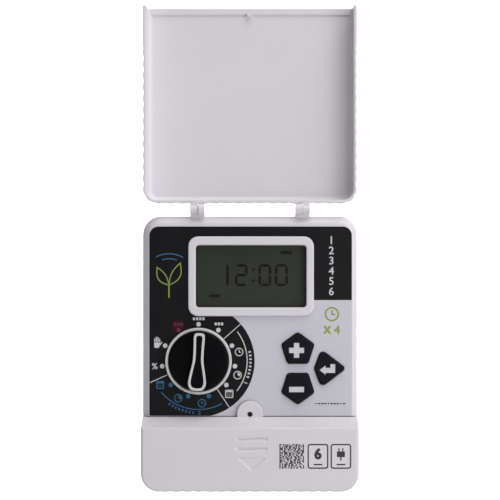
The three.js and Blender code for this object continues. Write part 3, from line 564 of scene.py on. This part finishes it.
def print_dial_marks():
    white, blue, red = [], [], []
    groups = [white] * 5 + [blue] * 3 + [white] * 2 + [red]
    for step, group in enumerate(groups):
        group.append((disc(*on_clock(DIAL, DOT_ORBIT, dial_angle(step)), 1.4, 20), []))
    for degrees, end in ((48.7, BLACK_RADIUS - 0.3), (146.5, BLACK_RADIUS - 0.3), (246, 32.4)):
        white.append(stroke([on_clock(DIAL, SPOKE_START, degrees), on_clock(DIAL, end, degrees)], 0.5))
    white.append(clock_arc(DIAL, ARC_ORBIT, 53, 128, 0.6))
    blue.append(clock_arc(DIAL, ARC_ORBIT, 151, 230, 0.6))
    for start, end, figure, group in ((80, 112, "1", white), (214, 182, "2", blue)):
        for k in range(8):
            spot = start + (end - start) * k / 8
            group.append(stroke([on_clock(DIAL, NUMBER_ORBIT - 0.75, spot),
                                 on_clock(DIAL, NUMBER_ORBIT + 0.75, spot)], 1.0))
        group += text_shapes(figure, on_clock(DIAL, NUMBER_ORBIT, end + (3 if end < 180 else -3)), 2.0,
                             math.radians(end if end < 180 else end - 180), 0.12)
    for group, draw, orbit, degrees, reach in (
            (white, clock_shapes, 25.1, 77.5, 2.3), (white, duration_shapes, 25.1, 110, 2.3),
            (white, calendar_shapes, 27.2, 137, 2.2), (blue, clock_shapes, 25.6, 175.5, 2.3),
            (blue, duration_shapes, 25.6, 208.5, 2.3), (blue, calendar_shapes, 27.4, 238, 2.1)):
        group += draw(on_clock(DIAL, orbit, degrees), reach, MARK_LINE)
    white += text_shapes("%", (-57.6, -8.3), 3.6, weight=0.08)
    white += hand_shapes((-56.2, 6.0), 3.3)
    for group, x, z, count in ((white, -31.0, 20.3, 4), (white, -18.8, 17.2, 3), (red, -43.3, 17.0, 3)):
        for k in range(count):
            group.append((box_outline(x + 1.9 * (k - (count - 1) / 2), z, 0.7, 0.85, 0.2, 2), []))
    printed("dial_prints_white", "housing", "print_white", white, FILM_Y + INK_STEP, INK_Y)
    printed("dial_prints_blue", "housing", "print_blue", blue, FILM_Y + INK_STEP, INK_Y)
    printed("stop_field", "housing", "print_red", [(box_outline(-43.4, 15.6, 3.4, 3.5, 0.8, 4), [])],
            FILM_Y + INK_STEP, INK_Y)
    printed("stop_marks", "housing", "print_red", red, INK_Y + INK_STEP, INK_Y - 0.02,
            finish_of("print_rose", (0.13, 0.035, 0.058), 0.5, spread=0.08, specular=0.15))


print_dial_marks()


def leaf(root, tip, bulge):
    """A leaf outline between two points, fuller on one side."""
    root, tip = Vector(root), Vector(tip)
    along = tip - root
    side = Vector((-along.y, along.x)).normalized()
    near = [root + along * k / 12 + side * bulge * math.sin(math.pi * k / 12) for k in range(12)]
    far = [root + along * k / 12 - side * bulge * 0.5 * math.sin(math.pi * k / 12) for k in range(12, 0, -1)]
    return stroke(near + far, 0.6, closed=True)


def print_label_motifs():
    sprout = [leaf((-49.0, 40.6), (-56.2, 51.4), 3.3), leaf((-49.0, 40.6), (-42.2, 54.0), -3.6),
              (box_outline(-49.0, 36.6, 0.4, 3.6, 0.3, 3), [])]
    spray = [clock_arc((-49.0, 42.0), radius, start, end, 0.6, 16)
             for radius, start, end in ((17.6, -27, 29), (14.6, -17, 19))]
    printed("motif_sprout", "housing", "print_green", sprout, FILM_Y + INK_STEP, INK_Y)
    printed("motif_spray", "housing", "print_blue", spray, FILM_Y + INK_STEP, INK_Y)
    numbers = []
    for place, figure in enumerate("123456"):
        numbers += text_shapes(figure, (49.2, 67.9 - place * 6.2), 4.6, weight=0.06)
    printed("station_numbers", "housing", "print_white", numbers, FILM_Y + INK_STEP, INK_Y)
    green = clock_shapes((49.5, 23.1), 3.9, 1.0)
    green += text_shapes("4", (52.6, 13.6), 4.9, weight=0.2)
    green += [stroke([(44.8, 11.3), (48.6, 15.9)], 1.3), stroke([(44.8, 15.9), (46.3, 14.1)], 1.3),
              stroke([(47.1, 13.1), (48.6, 11.3)], 1.3)]
    printed("pale_area_marks", "housing", "print_green", green, LABEL_Y + INK_STEP, FILM_Y - INK_STEP)
    dashes = [(box_outline(39.8 + 1.9 * k, -31.0, 0.75 if k % 4 else 0.4, 0.4, 0.1, 2), [])
              for k in range(10)]
    printed("foot_rule", "housing", "print_dark", dashes, LABEL_Y + INK_STEP, FILM_Y)


print_label_motifs()


# ================================================================ display
layered("window_lens", "housing", "lens_clear", offset(window_outline(), WINDOW_OVERLAP),
        edge_levels(-19.9, -21.4, 0, 0.3), replaces=["display_window"])
layered("lcd_glass", "housing", "lcd_olive", offset(window_outline(), WINDOW_OVERLAP),
        edge_levels(-16.5, GLASS_Y, 0, 0.2), replaces=["lcd_panel"])

SEGMENTS = {"0": "abcdef", "1": "bc", "2": "abged"}


def digit_shapes(figure, left, right, low, high, width=1.45, gap=0.22):
    """Seven-segment figure between the given limits."""
    middle = (low + high) / 2
    inset = width / 2
    corners = {"tl": (left + inset, high - inset), "tr": (right - inset, high - inset),
               "ml": (left + inset, middle), "mr": (right - inset, middle),
               "bl": (left + inset, low + inset), "br": (right - inset, low + inset)}
    runs = {"a": ("tl", "tr"), "b": ("tr", "mr"), "c": ("mr", "br"), "d": ("bl", "br"), "e": ("ml", "bl"),
            "f": ("tl", "ml"), "g": ("ml", "mr")}
    shapes = []
    for name in SEGMENTS[figure]:
        a, b = (Vector(corners[k]) for k in runs[name])
        along = (b - a).normalized()
        side = Vector((-along.y, along.x)) * width / 2
        a, b = a + along * gap, b - along * gap
        tip = along * width / 2
        shapes.append(([a, a + tip + side, b - tip + side, b, b - tip - side, a + tip - side], []))
    return shapes


def lcd_figures():
    low, high = 40.0, 53.3
    shapes = [([Vector((-14.4, low + 0.3)), Vector((-12.9, low + 1.2)), Vector((-12.9, high - 1.2)),
                Vector((-14.4, high - 0.3))], [])]
    shapes += digit_shapes("2", -9.1, -1.5, low, high)
    shapes += [(box_outline(2.1, z, 0.75, 0.75, 0.2, 2), []) for z in (43.4, 49.9)]
    shapes += digit_shapes("0", 5.1, 12.8, low, high) + digit_shapes("0", 15.2, 22.9, low, high)
    for x, z in ((21.8, 60.4), (-21.4, 34.1)):
        shapes += [(box_outline(x + 1.7 * k, z, 0.72, 0.95, 0.2, 2), []) for k in (-1.5, -0.5, 0.5, 1.5)]
    return shapes


printed("lcd_figures", "housing", "label_black", lcd_figures(), GLASS_Y + INK_STEP, GLASS_Y - 0.05)


# ================================================================ solids made by cutting and joining
def solid_bm(outline, levels, holes=()):
    bm = bmesh.new()
    add_layers(bm, outline, levels, holes)
    bmesh.ops.recalc_face_normals(bm, faces=bm.faces)
    return bm


def across_bm(outline, x_from, x_to):
    """An outline given as (depth, height), made solid from one X to another."""
    bm = bmesh.new()
    rings = [[bm.verts.new((x * MM, p[0] * MM, p[1] * MM)) for p in outline] for x in (x_from, x_to)]
    for i in range(len(outline)):
        j = (i + 1) % len(outline)
        bm.faces.new((rings[0][i], rings[0][j], rings[1][j], rings[1][i]))
    for ring in rings:
        bm.faces.new(ring)
    bmesh.ops.recalc_face_normals(bm, faces=bm.faces)
    return bm


def combined(base, steps):
    """The base with other solids joined on or cut away: steps are (operation, bmesh)."""
    made = []
    for bm in [base] + [tool for _, tool in steps]:
        mesh = bpy.data.meshes.new("solid")
        bm.to_mesh(mesh)
        bm.free()
        obj = bpy.data.objects.new("solid", mesh)
        bpy.context.scene.collection.objects.link(obj)
        made.append(obj)
    for (operation, _), tool in zip(steps, made[1:]):
        modifier = made[0].modifiers.new("step", "BOOLEAN")
        modifier.operation = operation
        modifier.solver = "EXACT"
        modifier.object = tool
    bpy.context.view_layer.update()
    result = bmesh.new()
    mesh = bpy.data.meshes.new_from_object(made[0].evaluated_get(bpy.context.evaluated_depsgraph_get()))
    result.from_mesh(mesh)
    for obj in made:
        data = obj.data
        bpy.data.objects.remove(obj)
        bpy.data.meshes.remove(data)
    bpy.data.meshes.remove(mesh)
    bmesh.ops.remove_doubles(result, verts=result.verts, dist=1e-6)
    return result


def bevel_where(bm, test, width, segments, least_angle=30):
    edges = [e for e in bm.edges if len(e.link_faces) == 2
             and e.calc_face_angle_signed(0) > math.radians(least_angle)
             and test(e.verts[0].co / MM, e.verts[1].co / MM)]
    bmesh.ops.bevel(bm, geom=edges, offset=width * MM, offset_type="OFFSET", segments=segments,
                    profile=0.5, affect="EDGES", clamp_overlap=True, material=-1)


def fluted(half_x, low, high, corner, smooth, depth, is_plain=lambda p: False, steps=12):
    """A U open at the top whose outside is a row of round flutes, then closed straight across the top."""
    side = high - low - corner
    arc = math.pi / 2 * corner
    flat = 2 * (half_x - corner)
    length = 2 * side + 2 * arc + flat

    def at(s):
        """The point and the direction at a length along the U."""
        if s < side:
            return Vector((-half_x, high - s)), Vector((0, -1))
        if s < side + arc:
            a = math.pi + (s - side) / corner
            centre = Vector((-half_x + corner, low + corner))
            return centre + Vector((math.cos(a), math.sin(a))) * corner, Vector((-math.sin(a), math.cos(a)))
        if s <= length / 2:
            return Vector((-half_x + corner + s - side - arc, low)), Vector((1, 0))
        place, along = at(length - s)
        return Vector((-place.x, place.y)), Vector((along.x, -along.y))

    run = length - 2 * smooth
    count = round(run / FLUTE_PITCH)
    bend = [at(side + (smooth - side) * k / 12)[0] for k in range(12)] if smooth > side else []
    path = [Vector((-half_x, high))] + bend
    for i in range(count * steps + 1):
        place, along = at(smooth + run * i / (count * steps))
        lobe = abs(math.sin(math.pi * i / steps))
        valley, _ = at(smooth + run * round(i / steps) / count)
        sink = 0 if i in (0, count * steps) or is_plain(valley) else depth * (1 - lobe)
        path.append(place + Vector((-along.y, along.x)) * sink)
    return path + [Vector((-p.x, p.y)) for p in reversed(bend)] + [Vector((half_x, high))]


# ================================================================ hinged cover
def round_hinge(radius, angles):
    """Points (depth, height) about the hinge's axis."""
    return [(HINGE[0] + radius * math.cos(a), HINGE[1] + radius * math.sin(a)) for a in angles]


def make_cover():
    outside = fluted(COVER_HALF, COVER_LOW_Z, COVER_HIGH_Z, COVER_CORNER, 25, FLUTE_DEPTH,
                     lambda p: 26.5 < abs(p.x) < 37.2)
    extra = Vector((0, 6))
    tall = [outside[0] + extra] + outside[1:-1] + [outside[-1] + extra]
    base = solid_bm(tall, edge_levels(COVER_BACK_Y, COVER_RIM_Y, 2.4, 0.45, 5))
    wall = COVER_WALL
    inner = rounded([(-COVER_HALF + wall, COVER_LOW_Z + wall, COVER_CORNER - wall),
                     (COVER_HALF - wall, COVER_LOW_Z + wall, COVER_CORNER - wall),
                     (COVER_HALF - wall, COVER_HIGH_Z + 12, 0),
                     (-COVER_HALF + wall, COVER_HIGH_Z + 12, 0)], 10)
    lead = 0.45
    pocket_levels = [(COVER_RIM_Y - 0.8, -lead), (COVER_RIM_Y, -lead)]
    pocket_levels += [(COVER_RIM_Y + lead * math.sin(a), -lead * math.cos(a))
                      for a in (0.4, 0.8, 1.2, math.pi / 2)]
    foot = 3.2
    pocket_levels += [(COVER_PLATE_Y - foot + foot * math.sin(a), foot * (1 - math.cos(a)))
                      for a in (math.pi / 2 * k / 6 for k in range(7))]
    pocket = solid_bm(inner, pocket_levels)
    trim = solid_bm(box_outline(0, COVER_HIGH_Z + 10, 90, 10), [(5, 0), (-40, 0)])
    lip = solid_bm(box_outline(0, COVER_HIGH_Z, COVER_HALF - 0.3, 3.6), [(-7, 0), (-8.8, 0)])
    nub = solid_bm(box_outline(-0.6, COVER_HIGH_Z - 4.2, 1.5, 1, 0.4, 4), edge_levels(-7, -10.4, 0, 0.35))
    steps = [("DIFFERENCE", pocket), ("UNION", lip), ("DIFFERENCE", trim), ("UNION", nub)]
    for side in (-1, 1):
        low, high = sorted(side * x for x in ARM_X)
        collar_low, collar_high = sorted(side * x for x in COLLAR_X)
        neck_angle = math.acos(NECK_HALF / ARM_RADIUS)
        first, last = math.pi - neck_angle, 2 * math.pi + neck_angle
        arm = round_hinge(ARM_RADIUS, [first + (last - first) * k / 28 for k in range(29)])
        arm += [(HINGE[0] + NECK_HALF, COVER_LOW_Z + 1.2), (HINGE[0] - NECK_HALF, COVER_LOW_Z + 1.2)]
        bore = round_hinge(PIN_BORE_RADIUS, [2 * math.pi * k / 20 for k in range(20)])
        collar = round_hinge(COLLAR_RADIUS, [2 * math.pi * k / 24 for k in range(24)])
        bore_ends = min(low, collar_low) - 1, max(high, collar_high) + 1
        steps += [("UNION", across_bm(arm, low, high)), ("UNION", across_bm(collar, collar_low, collar_high)),
                  ("DIFFERENCE", across_bm(bore, *bore_ends))]
    bm = combined(base, steps)
    bevel_where(bm, lambda a, b: a.z > COVER_HIGH_Z - 0.01 and b.z > COVER_HIGH_Z - 0.01, 0.35, 3)
    object_from(bm, "cover_shell", "flip_cover", "white_shell", ["cover"])


make_cover()


# ================================================================ terminal cover
def make_terminal_cover():
    top, low, wall, corner = TERMINAL_TOP_Z, -CASE_HALF[1], TERMINAL_WALL, CASE_CORNER
    half, rear, front = CASE_HALF[0], TERMINAL_REAR_Y, TERMINAL_FRONT_Y
    outside = fluted(half, low, top, corner, top - low + (math.pi / 2 - 1) * corner, 0.35)
    tall = [outside[0] + Vector((0, 5))] + outside[1:-1] + [outside[-1] + Vector((0, 5))]
    base = solid_bm(tall, edge_levels(rear, front, 0.3, 1.7, 5))

    def slope(y, inset=0.0):
        drop = inset * math.hypot(SLOPE_RUN, SLOPE_FALL) / SLOPE_RUN
        return (y, top - drop - (SLOPE_START_Y - y) * SLOPE_FALL / SLOPE_RUN)

    over_top = across_bm([(0, top), (SLOPE_START_Y, top), slope(-50), (-50, top + 30), (0, top + 30)],
                         -80, 80)
    inner = rounded([(-half + wall, low + wall, corner - wall), (half - wall, low + wall, corner - wall),
                     (half - wall, top + 12, 0), (-half + wall, top + 12, 0)], 8)
    open_back = solid_bm(inner, [(rear + 5, 0), (front + wall, 0)])
    over = across_bm([(rear + 8, top + 20), (-22.6, top + 20), slope(-22.6, wall), slope(front + wall, wall),
                      (front + wall, low), (rear + 8, low)], -70, 70)
    cavity = combined(open_back, [("INTERSECT", over)])
    steps = [("DIFFERENCE", over_top), ("DIFFERENCE", cavity)]
    tab_levels = edge_levels(-22.6, SLOPE_START_Y, 0, 0.6, 4)
    steps.append(("UNION", solid_bm(disc(*TAB_CENTRE, TAB_RADIUS, 64), tab_levels)))
    x, reach = 0.9, 9.6
    head = rounded([(x - reach, -61.2, 0.8), (x + reach, -61.2, 0.8), (x, -70, 0.8)], 5)
    for outline in [head] + [box_outline(x, z, reach, 1.5, 0.8, 5) for z in (-50.6, -56.6)]:
        sunk = [(front + TERMINAL_MARK_DEPTH * (0.5 + 0.5 * math.cos(math.pi * k / 8)), 1.0 - 1.15 * k / 8)
                for k in range(8)]
        steps.append(("DIFFERENCE", solid_bm(outline, sunk + [(front - 1, -0.4)])))
    steps.append(("DIFFERENCE", solid_bm(disc(*TAB_CENTRE, 1.6, 32), [(-10, 0), (-41, 0)])))
    bm = combined(base, steps)

    def on_slope(p):
        return abs(p.z - slope(p.y)[1]) < 0.03 and p.y < SLOPE_START_Y + 0.05

    def slope_sides(a, b):
        return on_slope(a) and on_slope(b) and not at_depth(SLOPE_START_Y)(a, b)

    bevel_where(bm, slope_sides, 0.6, 3, least_angle=14)
    object_from(bm, "terminal_cover_shell", "lower_cover", "white_shell", ["terminal_cover"])


make_terminal_cover()


# ================================================================ selector dial
GRIP_SIDE = ((0, -17.3), (3.4, -16.7), (5.1, -14.3), (5.3, -11.4), (4.4, -6), (3.3, 0), (3.1, 5), (3.2, 10),
             (3.3, 14.8), (2.6, 16.9), (0, 17.4))
GRIP_INNER_SIDE = ((0, -15.8), (2.5, -15.3), (3.6, -13.7), (3.8, -11.5), (2.95, -6), (1.8, 0), (1.6, 5),
                   (1.7, 10), (1.8, 14.4), (1.4, 15.5), (0, 15.9))


def grip_outline(side):
    """Both sides of a smooth line drawn through the points of one side."""
    side = [Vector(p) for p in side]
    half = []
    for i in range(len(side) - 1):
        before, a, b, after = side[max(i - 1, 0)], side[i], side[i + 1], side[min(i + 2, len(side) - 1)]
        for k in range(5):
            t = k / 5
            half.append(0.5 * (2 * a + (b - before) * t + (2 * before - 5 * a + 4 * b - after) * t ** 2
                               + (3 * a - before - 3 * b + after) * t ** 3))
    half.append(side[-1])
    return half + [Vector((-p.x, p.y)) for p in half[-2:0:-1]]


def on_dial(points):
    return turned([Vector(DIAL) + p for p in points], DIAL, DIAL_TURN)


def make_dial():
    base = solid_bm(on_dial(disc(0, 0, 18.1, 96)), edge_levels(-22.7, -26.2, 0.3, 0.9, 4) + [(-26.2, 3.0)])
    grip = solid_bm(on_dial(grip_outline(GRIP_SIDE)), edge_levels(-25.6, -32.6, 0, 0.5, 3))
    stem = solid_bm(on_dial(disc(0, 0, 4.4, 32)), edge_levels(-12, -23.5, 0.3, 0))
    knob = combined(base, [("UNION", grip), ("UNION", stem)])
    object_from(knob, "knob", "dial", "knob_black", ["dial_knob"])
    layered("knob_line", "dial", "knob_white", on_dial(grip_outline(GRIP_SIDE)),
            edge_levels(-32.5, -33.1, 0, 0.25, 3), [on_dial(grip_outline(GRIP_INNER_SIDE))], ["dial_outline"])
    layered("knob_ring", "dial", "knob_white", on_dial(disc(0, 0, 20.1, 96)),
            edge_levels(-22.7, -25, 0.2, 0.5, 4), [on_dial(disc(0, 0, 18.35, 96))], ["dial_ring"])


make_dial()


# ================================================================ keys
def make_keys():
    centres = {"plus": PLUS_KEY, "minus": MINUS_KEY, "enter": ENTER_KEY}
    for key, outline in KEYS.items():
        spot = centres[key]
        cap = solid_bm(outline, edge_levels(-19.1, KEY_TOP_Y, 0, 0.8, 5))
        flange = solid_bm(offset(outline, 1.2), edge_levels(-18.2, -19.6, 0.2, 0.2))
        plunger = solid_bm(disc(*spot, 3, 32), edge_levels(-10.2, -18.7, 0.2, 0))
        object_from(combined(cap, [("UNION", flange), ("UNION", plunger)]), key + "_cap", key + "_key",
                    "black_rubber", [key + "_button"])
    ink = (KEY_TOP_Y + 0.02, KEY_TOP_Y - 0.05)
    x, z, reach, half = 28.1, 1.3, 4.5, 1.6
    plus = [Vector((x + a, z + b)) for a, b in (
        (-reach, -half), (-half, -half), (-half, -reach), (half, -reach), (half, -half), (reach, -half),
        (reach, half), (half, half), (half, reach), (-half, reach), (-half, half), (-reach, half))]
    printed("plus_sign", "plus_key", "print_white", [(plus, [])], *ink)
    minus = box_outline(x, -22.3, reach, half, 0.2, 2)
    printed("minus_sign", "minus_key", "print_white", [(minus, [])], *ink)
    arrow = [Vector(p) for p in ((42.0, -10.6), (45.6, -13.4), (45.6, -12.3), (51.4, -12.3), (51.4, -7.0),
                                 (48.5, -7.0), (48.5, -9.2), (45.6, -9.2), (45.6, -7.8))]
    printed("enter_sign", "enter_key", "print_white", [(arrow, [])], *ink)


make_keys()


# ================================================================ prints on the terminal cover
def print_terminal_cover():
    rng = random.Random(7)
    cells = 21
    size = 14.6 / cells
    shapes = []
    for row in range(cells):
        column = 0
        while column < cells:
            run = min(rng.choice((1, 1, 1, 2, 2, 3)), cells - column)
            shapes.append((box_outline(17.5 + size * (column + run / 2), -68.1 + size * (row + 0.5),
                                       size * run / 2, size * 0.48), []))
            column += run + rng.choice((1, 1, 1, 2))
    for x_low, x_high in ((34.6, 46.2), (48.3, 59.8)):
        middle = (x_low + x_high) / 2
        frame_line = box_outline(middle, -60.8, (x_high - x_low) / 2, 7.0, 1.2, 5)
        shapes.append(stroke(frame_line, 0.8, closed=True))
        shapes.append((box_outline(middle, -65.7, 2.6, 0.4), []))
    shapes += text_shapes("6", (40.4, -59.3), 5.9, weight=0.44)
    shapes += [(box_outline(54.05, -59.6, 2.4, 1.7, 0.5, 3), []), (box_outline(52.9, -57.0, 0.35, 1.1), []),
               (box_outline(55.2, -57.0, 0.35, 1.1), []), (box_outline(54.05, -62.2, 0.4, 1.2), [])]
    printed("terminal_cover_prints", "lower_cover", "print_dark", shapes,
            TERMINAL_FRONT_Y + INK_STEP, TERMINAL_INK_Y)


print_terminal_cover()


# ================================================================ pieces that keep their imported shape
def dress(node, slot, width):
    """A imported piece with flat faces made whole, small rounded edges and its finish."""
    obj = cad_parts[node]
    obj.data.materials.clear()
    obj.data.materials.append(FINISHES[slot])
    weld = obj.modifiers.new("weld", "WELD")
    weld.merge_threshold = 2e-6
    flat = obj.modifiers.new("flat_faces", "DECIMATE")
    flat.decimate_type = "DISSOLVE"
    flat.angle_limit = math.radians(0.6)
    edge = obj.modifiers.new("soft_edges", "BEVEL")
    edge.width = width * MM
    edge.segments = 2
    edge.limit_method = "ANGLE"
    edge.angle_limit = math.radians(40)
    even = obj.modifiers.new("even_normals", "WEIGHTED_NORMAL")
    even.keep_sharp = True
    for polygon in obj.data.polygons:
        polygon.use_smooth = True


INNER = {
    "hinge_pin_left": ("steel", 0.15), "hinge_pin_right": ("steel", 0.15),
    "terminal_cover_screw": ("black_steel", 0.2), "lcd_holder": ("inner_plastic", 0.2),
    "lcd_connector": ("dark_plastic", 0.2), "dial_rotor": ("inner_plastic", 0.15),
    "dial_wiper": ("contact_brass", 0.08), "dial_clip": ("steel", 0.1), "detent_spring": ("steel", 0.08),
    "keypad_mat": ("black_rubber", 0.2), "plus_contact": ("black_rubber", 0.15),
    "minus_contact": ("black_rubber", 0.15), "enter_contact": ("black_rubber", 0.15),
    "circuit_board": ("board_green", 0.1), "microcontroller": ("dark_plastic", 0.15),
    "filter_capacitor": ("can_aluminium", 0.5), "rectifier": ("dark_plastic", 0.2),
    "fuse": ("steel", 0.2), "battery_holder": ("dark_plastic", 0.2), "coin_cell": ("steel", 0.2),
    "terminal_block": ("terminal_green", 0.2),
}
for number in range(1, 5):
    INNER[f"case_screw_{number}"] = ("steel", 0.25)
    INNER[f"board_screw_{number}"] = ("steel", 0.25)
for number in range(1, 8):
    INNER[f"triac_{number}"] = ("dark_plastic", 0.2)
for number in range(1, 11):
    INNER[f"terminal_screw_{number}"] = ("steel", 0.15)
for node, (slot, width) in INNER.items():
    dress(node, slot, width)


# ================================================================ stage, light and camera
def plane(name, corners, color, roughness=0.9):
    mesh = bpy.data.meshes.new(name)
    mesh.from_pydata([Vector(c) for c in corners], [], [range(len(corners))])
    obj = bpy.data.objects.new(name, mesh)
    bpy.context.scene.collection.objects.link(obj)
    mat = bpy.data.materials.new(name)
    mat.use_nodes = True
    shader = mat.node_tree.nodes["Principled BSDF"]
    shader.inputs["Base Color"].default_value = (*color, 1)
    shader.inputs["Roughness"].default_value = roughness
    mesh.materials.append(mat)


def lamp(name, place, target, size, watts):
    data = bpy.data.lights.new(name, "AREA")
    data.shape = "RECTANGLE"
    data.size, data.size_y = size
    data.energy = watts
    obj = bpy.data.objects.new(name, data)
    obj.location = place
    obj.rotation_euler = (Vector(target) - Vector(place)).to_track_quat("-Z", "Y").to_euler()
    bpy.context.scene.collection.objects.link(obj)


def set_stage():
    side, back, low, high = 3, 1.2, -0.35, 2.5
    near_edge, far_edge = [(-side, -side, low), (side, -side, low)], [(-side, back, low), (side, back, low)]
    plane("floor", near_edge + far_edge[::-1], (0.9,) * 3)
    plane("backdrop", far_edge + [(side, back, high), (-side, back, high)], (0.98,) * 3)
    centre = (0, 0, 0.062)
    lamp("key", (1.25, -0.75, 0.3), centre, (1.5, 1.5), 6.9)
    lamp("fill", (0.85, -1.4, -0.1), centre, (1.2, 1.2), 10.4)
    lamp("top", (0.3, -0.4, 1.3), centre, (1.2, 1.0), 14.5)
    lamp("back_wash", (0, 0.35, 0.1), (0, 1.2, 0.1), (2.0, 2.0), 26)
    world = bpy.data.worlds.new("studio")
    world.use_nodes = True
    world.node_tree.nodes["Background"].inputs["Color"].default_value = (0.93, 0.93, 1, 1)
    world.node_tree.nodes["Background"].inputs["Strength"].default_value = 0.12
    bpy.context.scene.world = world
    data = bpy.data.cameras.new("photo_camera")
    data.sensor_width = 36
    distance, width_seen = 0.93, 0.3025
    data.lens = data.sensor_width * distance / width_seen
    data.clip_start = 0.05
    camera = bpy.data.objects.new("photo_camera", data)
    camera.location = (0.0, PANEL_Y * MM - distance, 0.0619)
    camera.rotation_euler = (math.pi / 2, 0, 0)
    bpy.context.scene.collection.objects.link(camera)
    bpy.context.scene.camera = camera
    bpy.context.scene.view_settings.view_transform = "Standard"


set_stage()
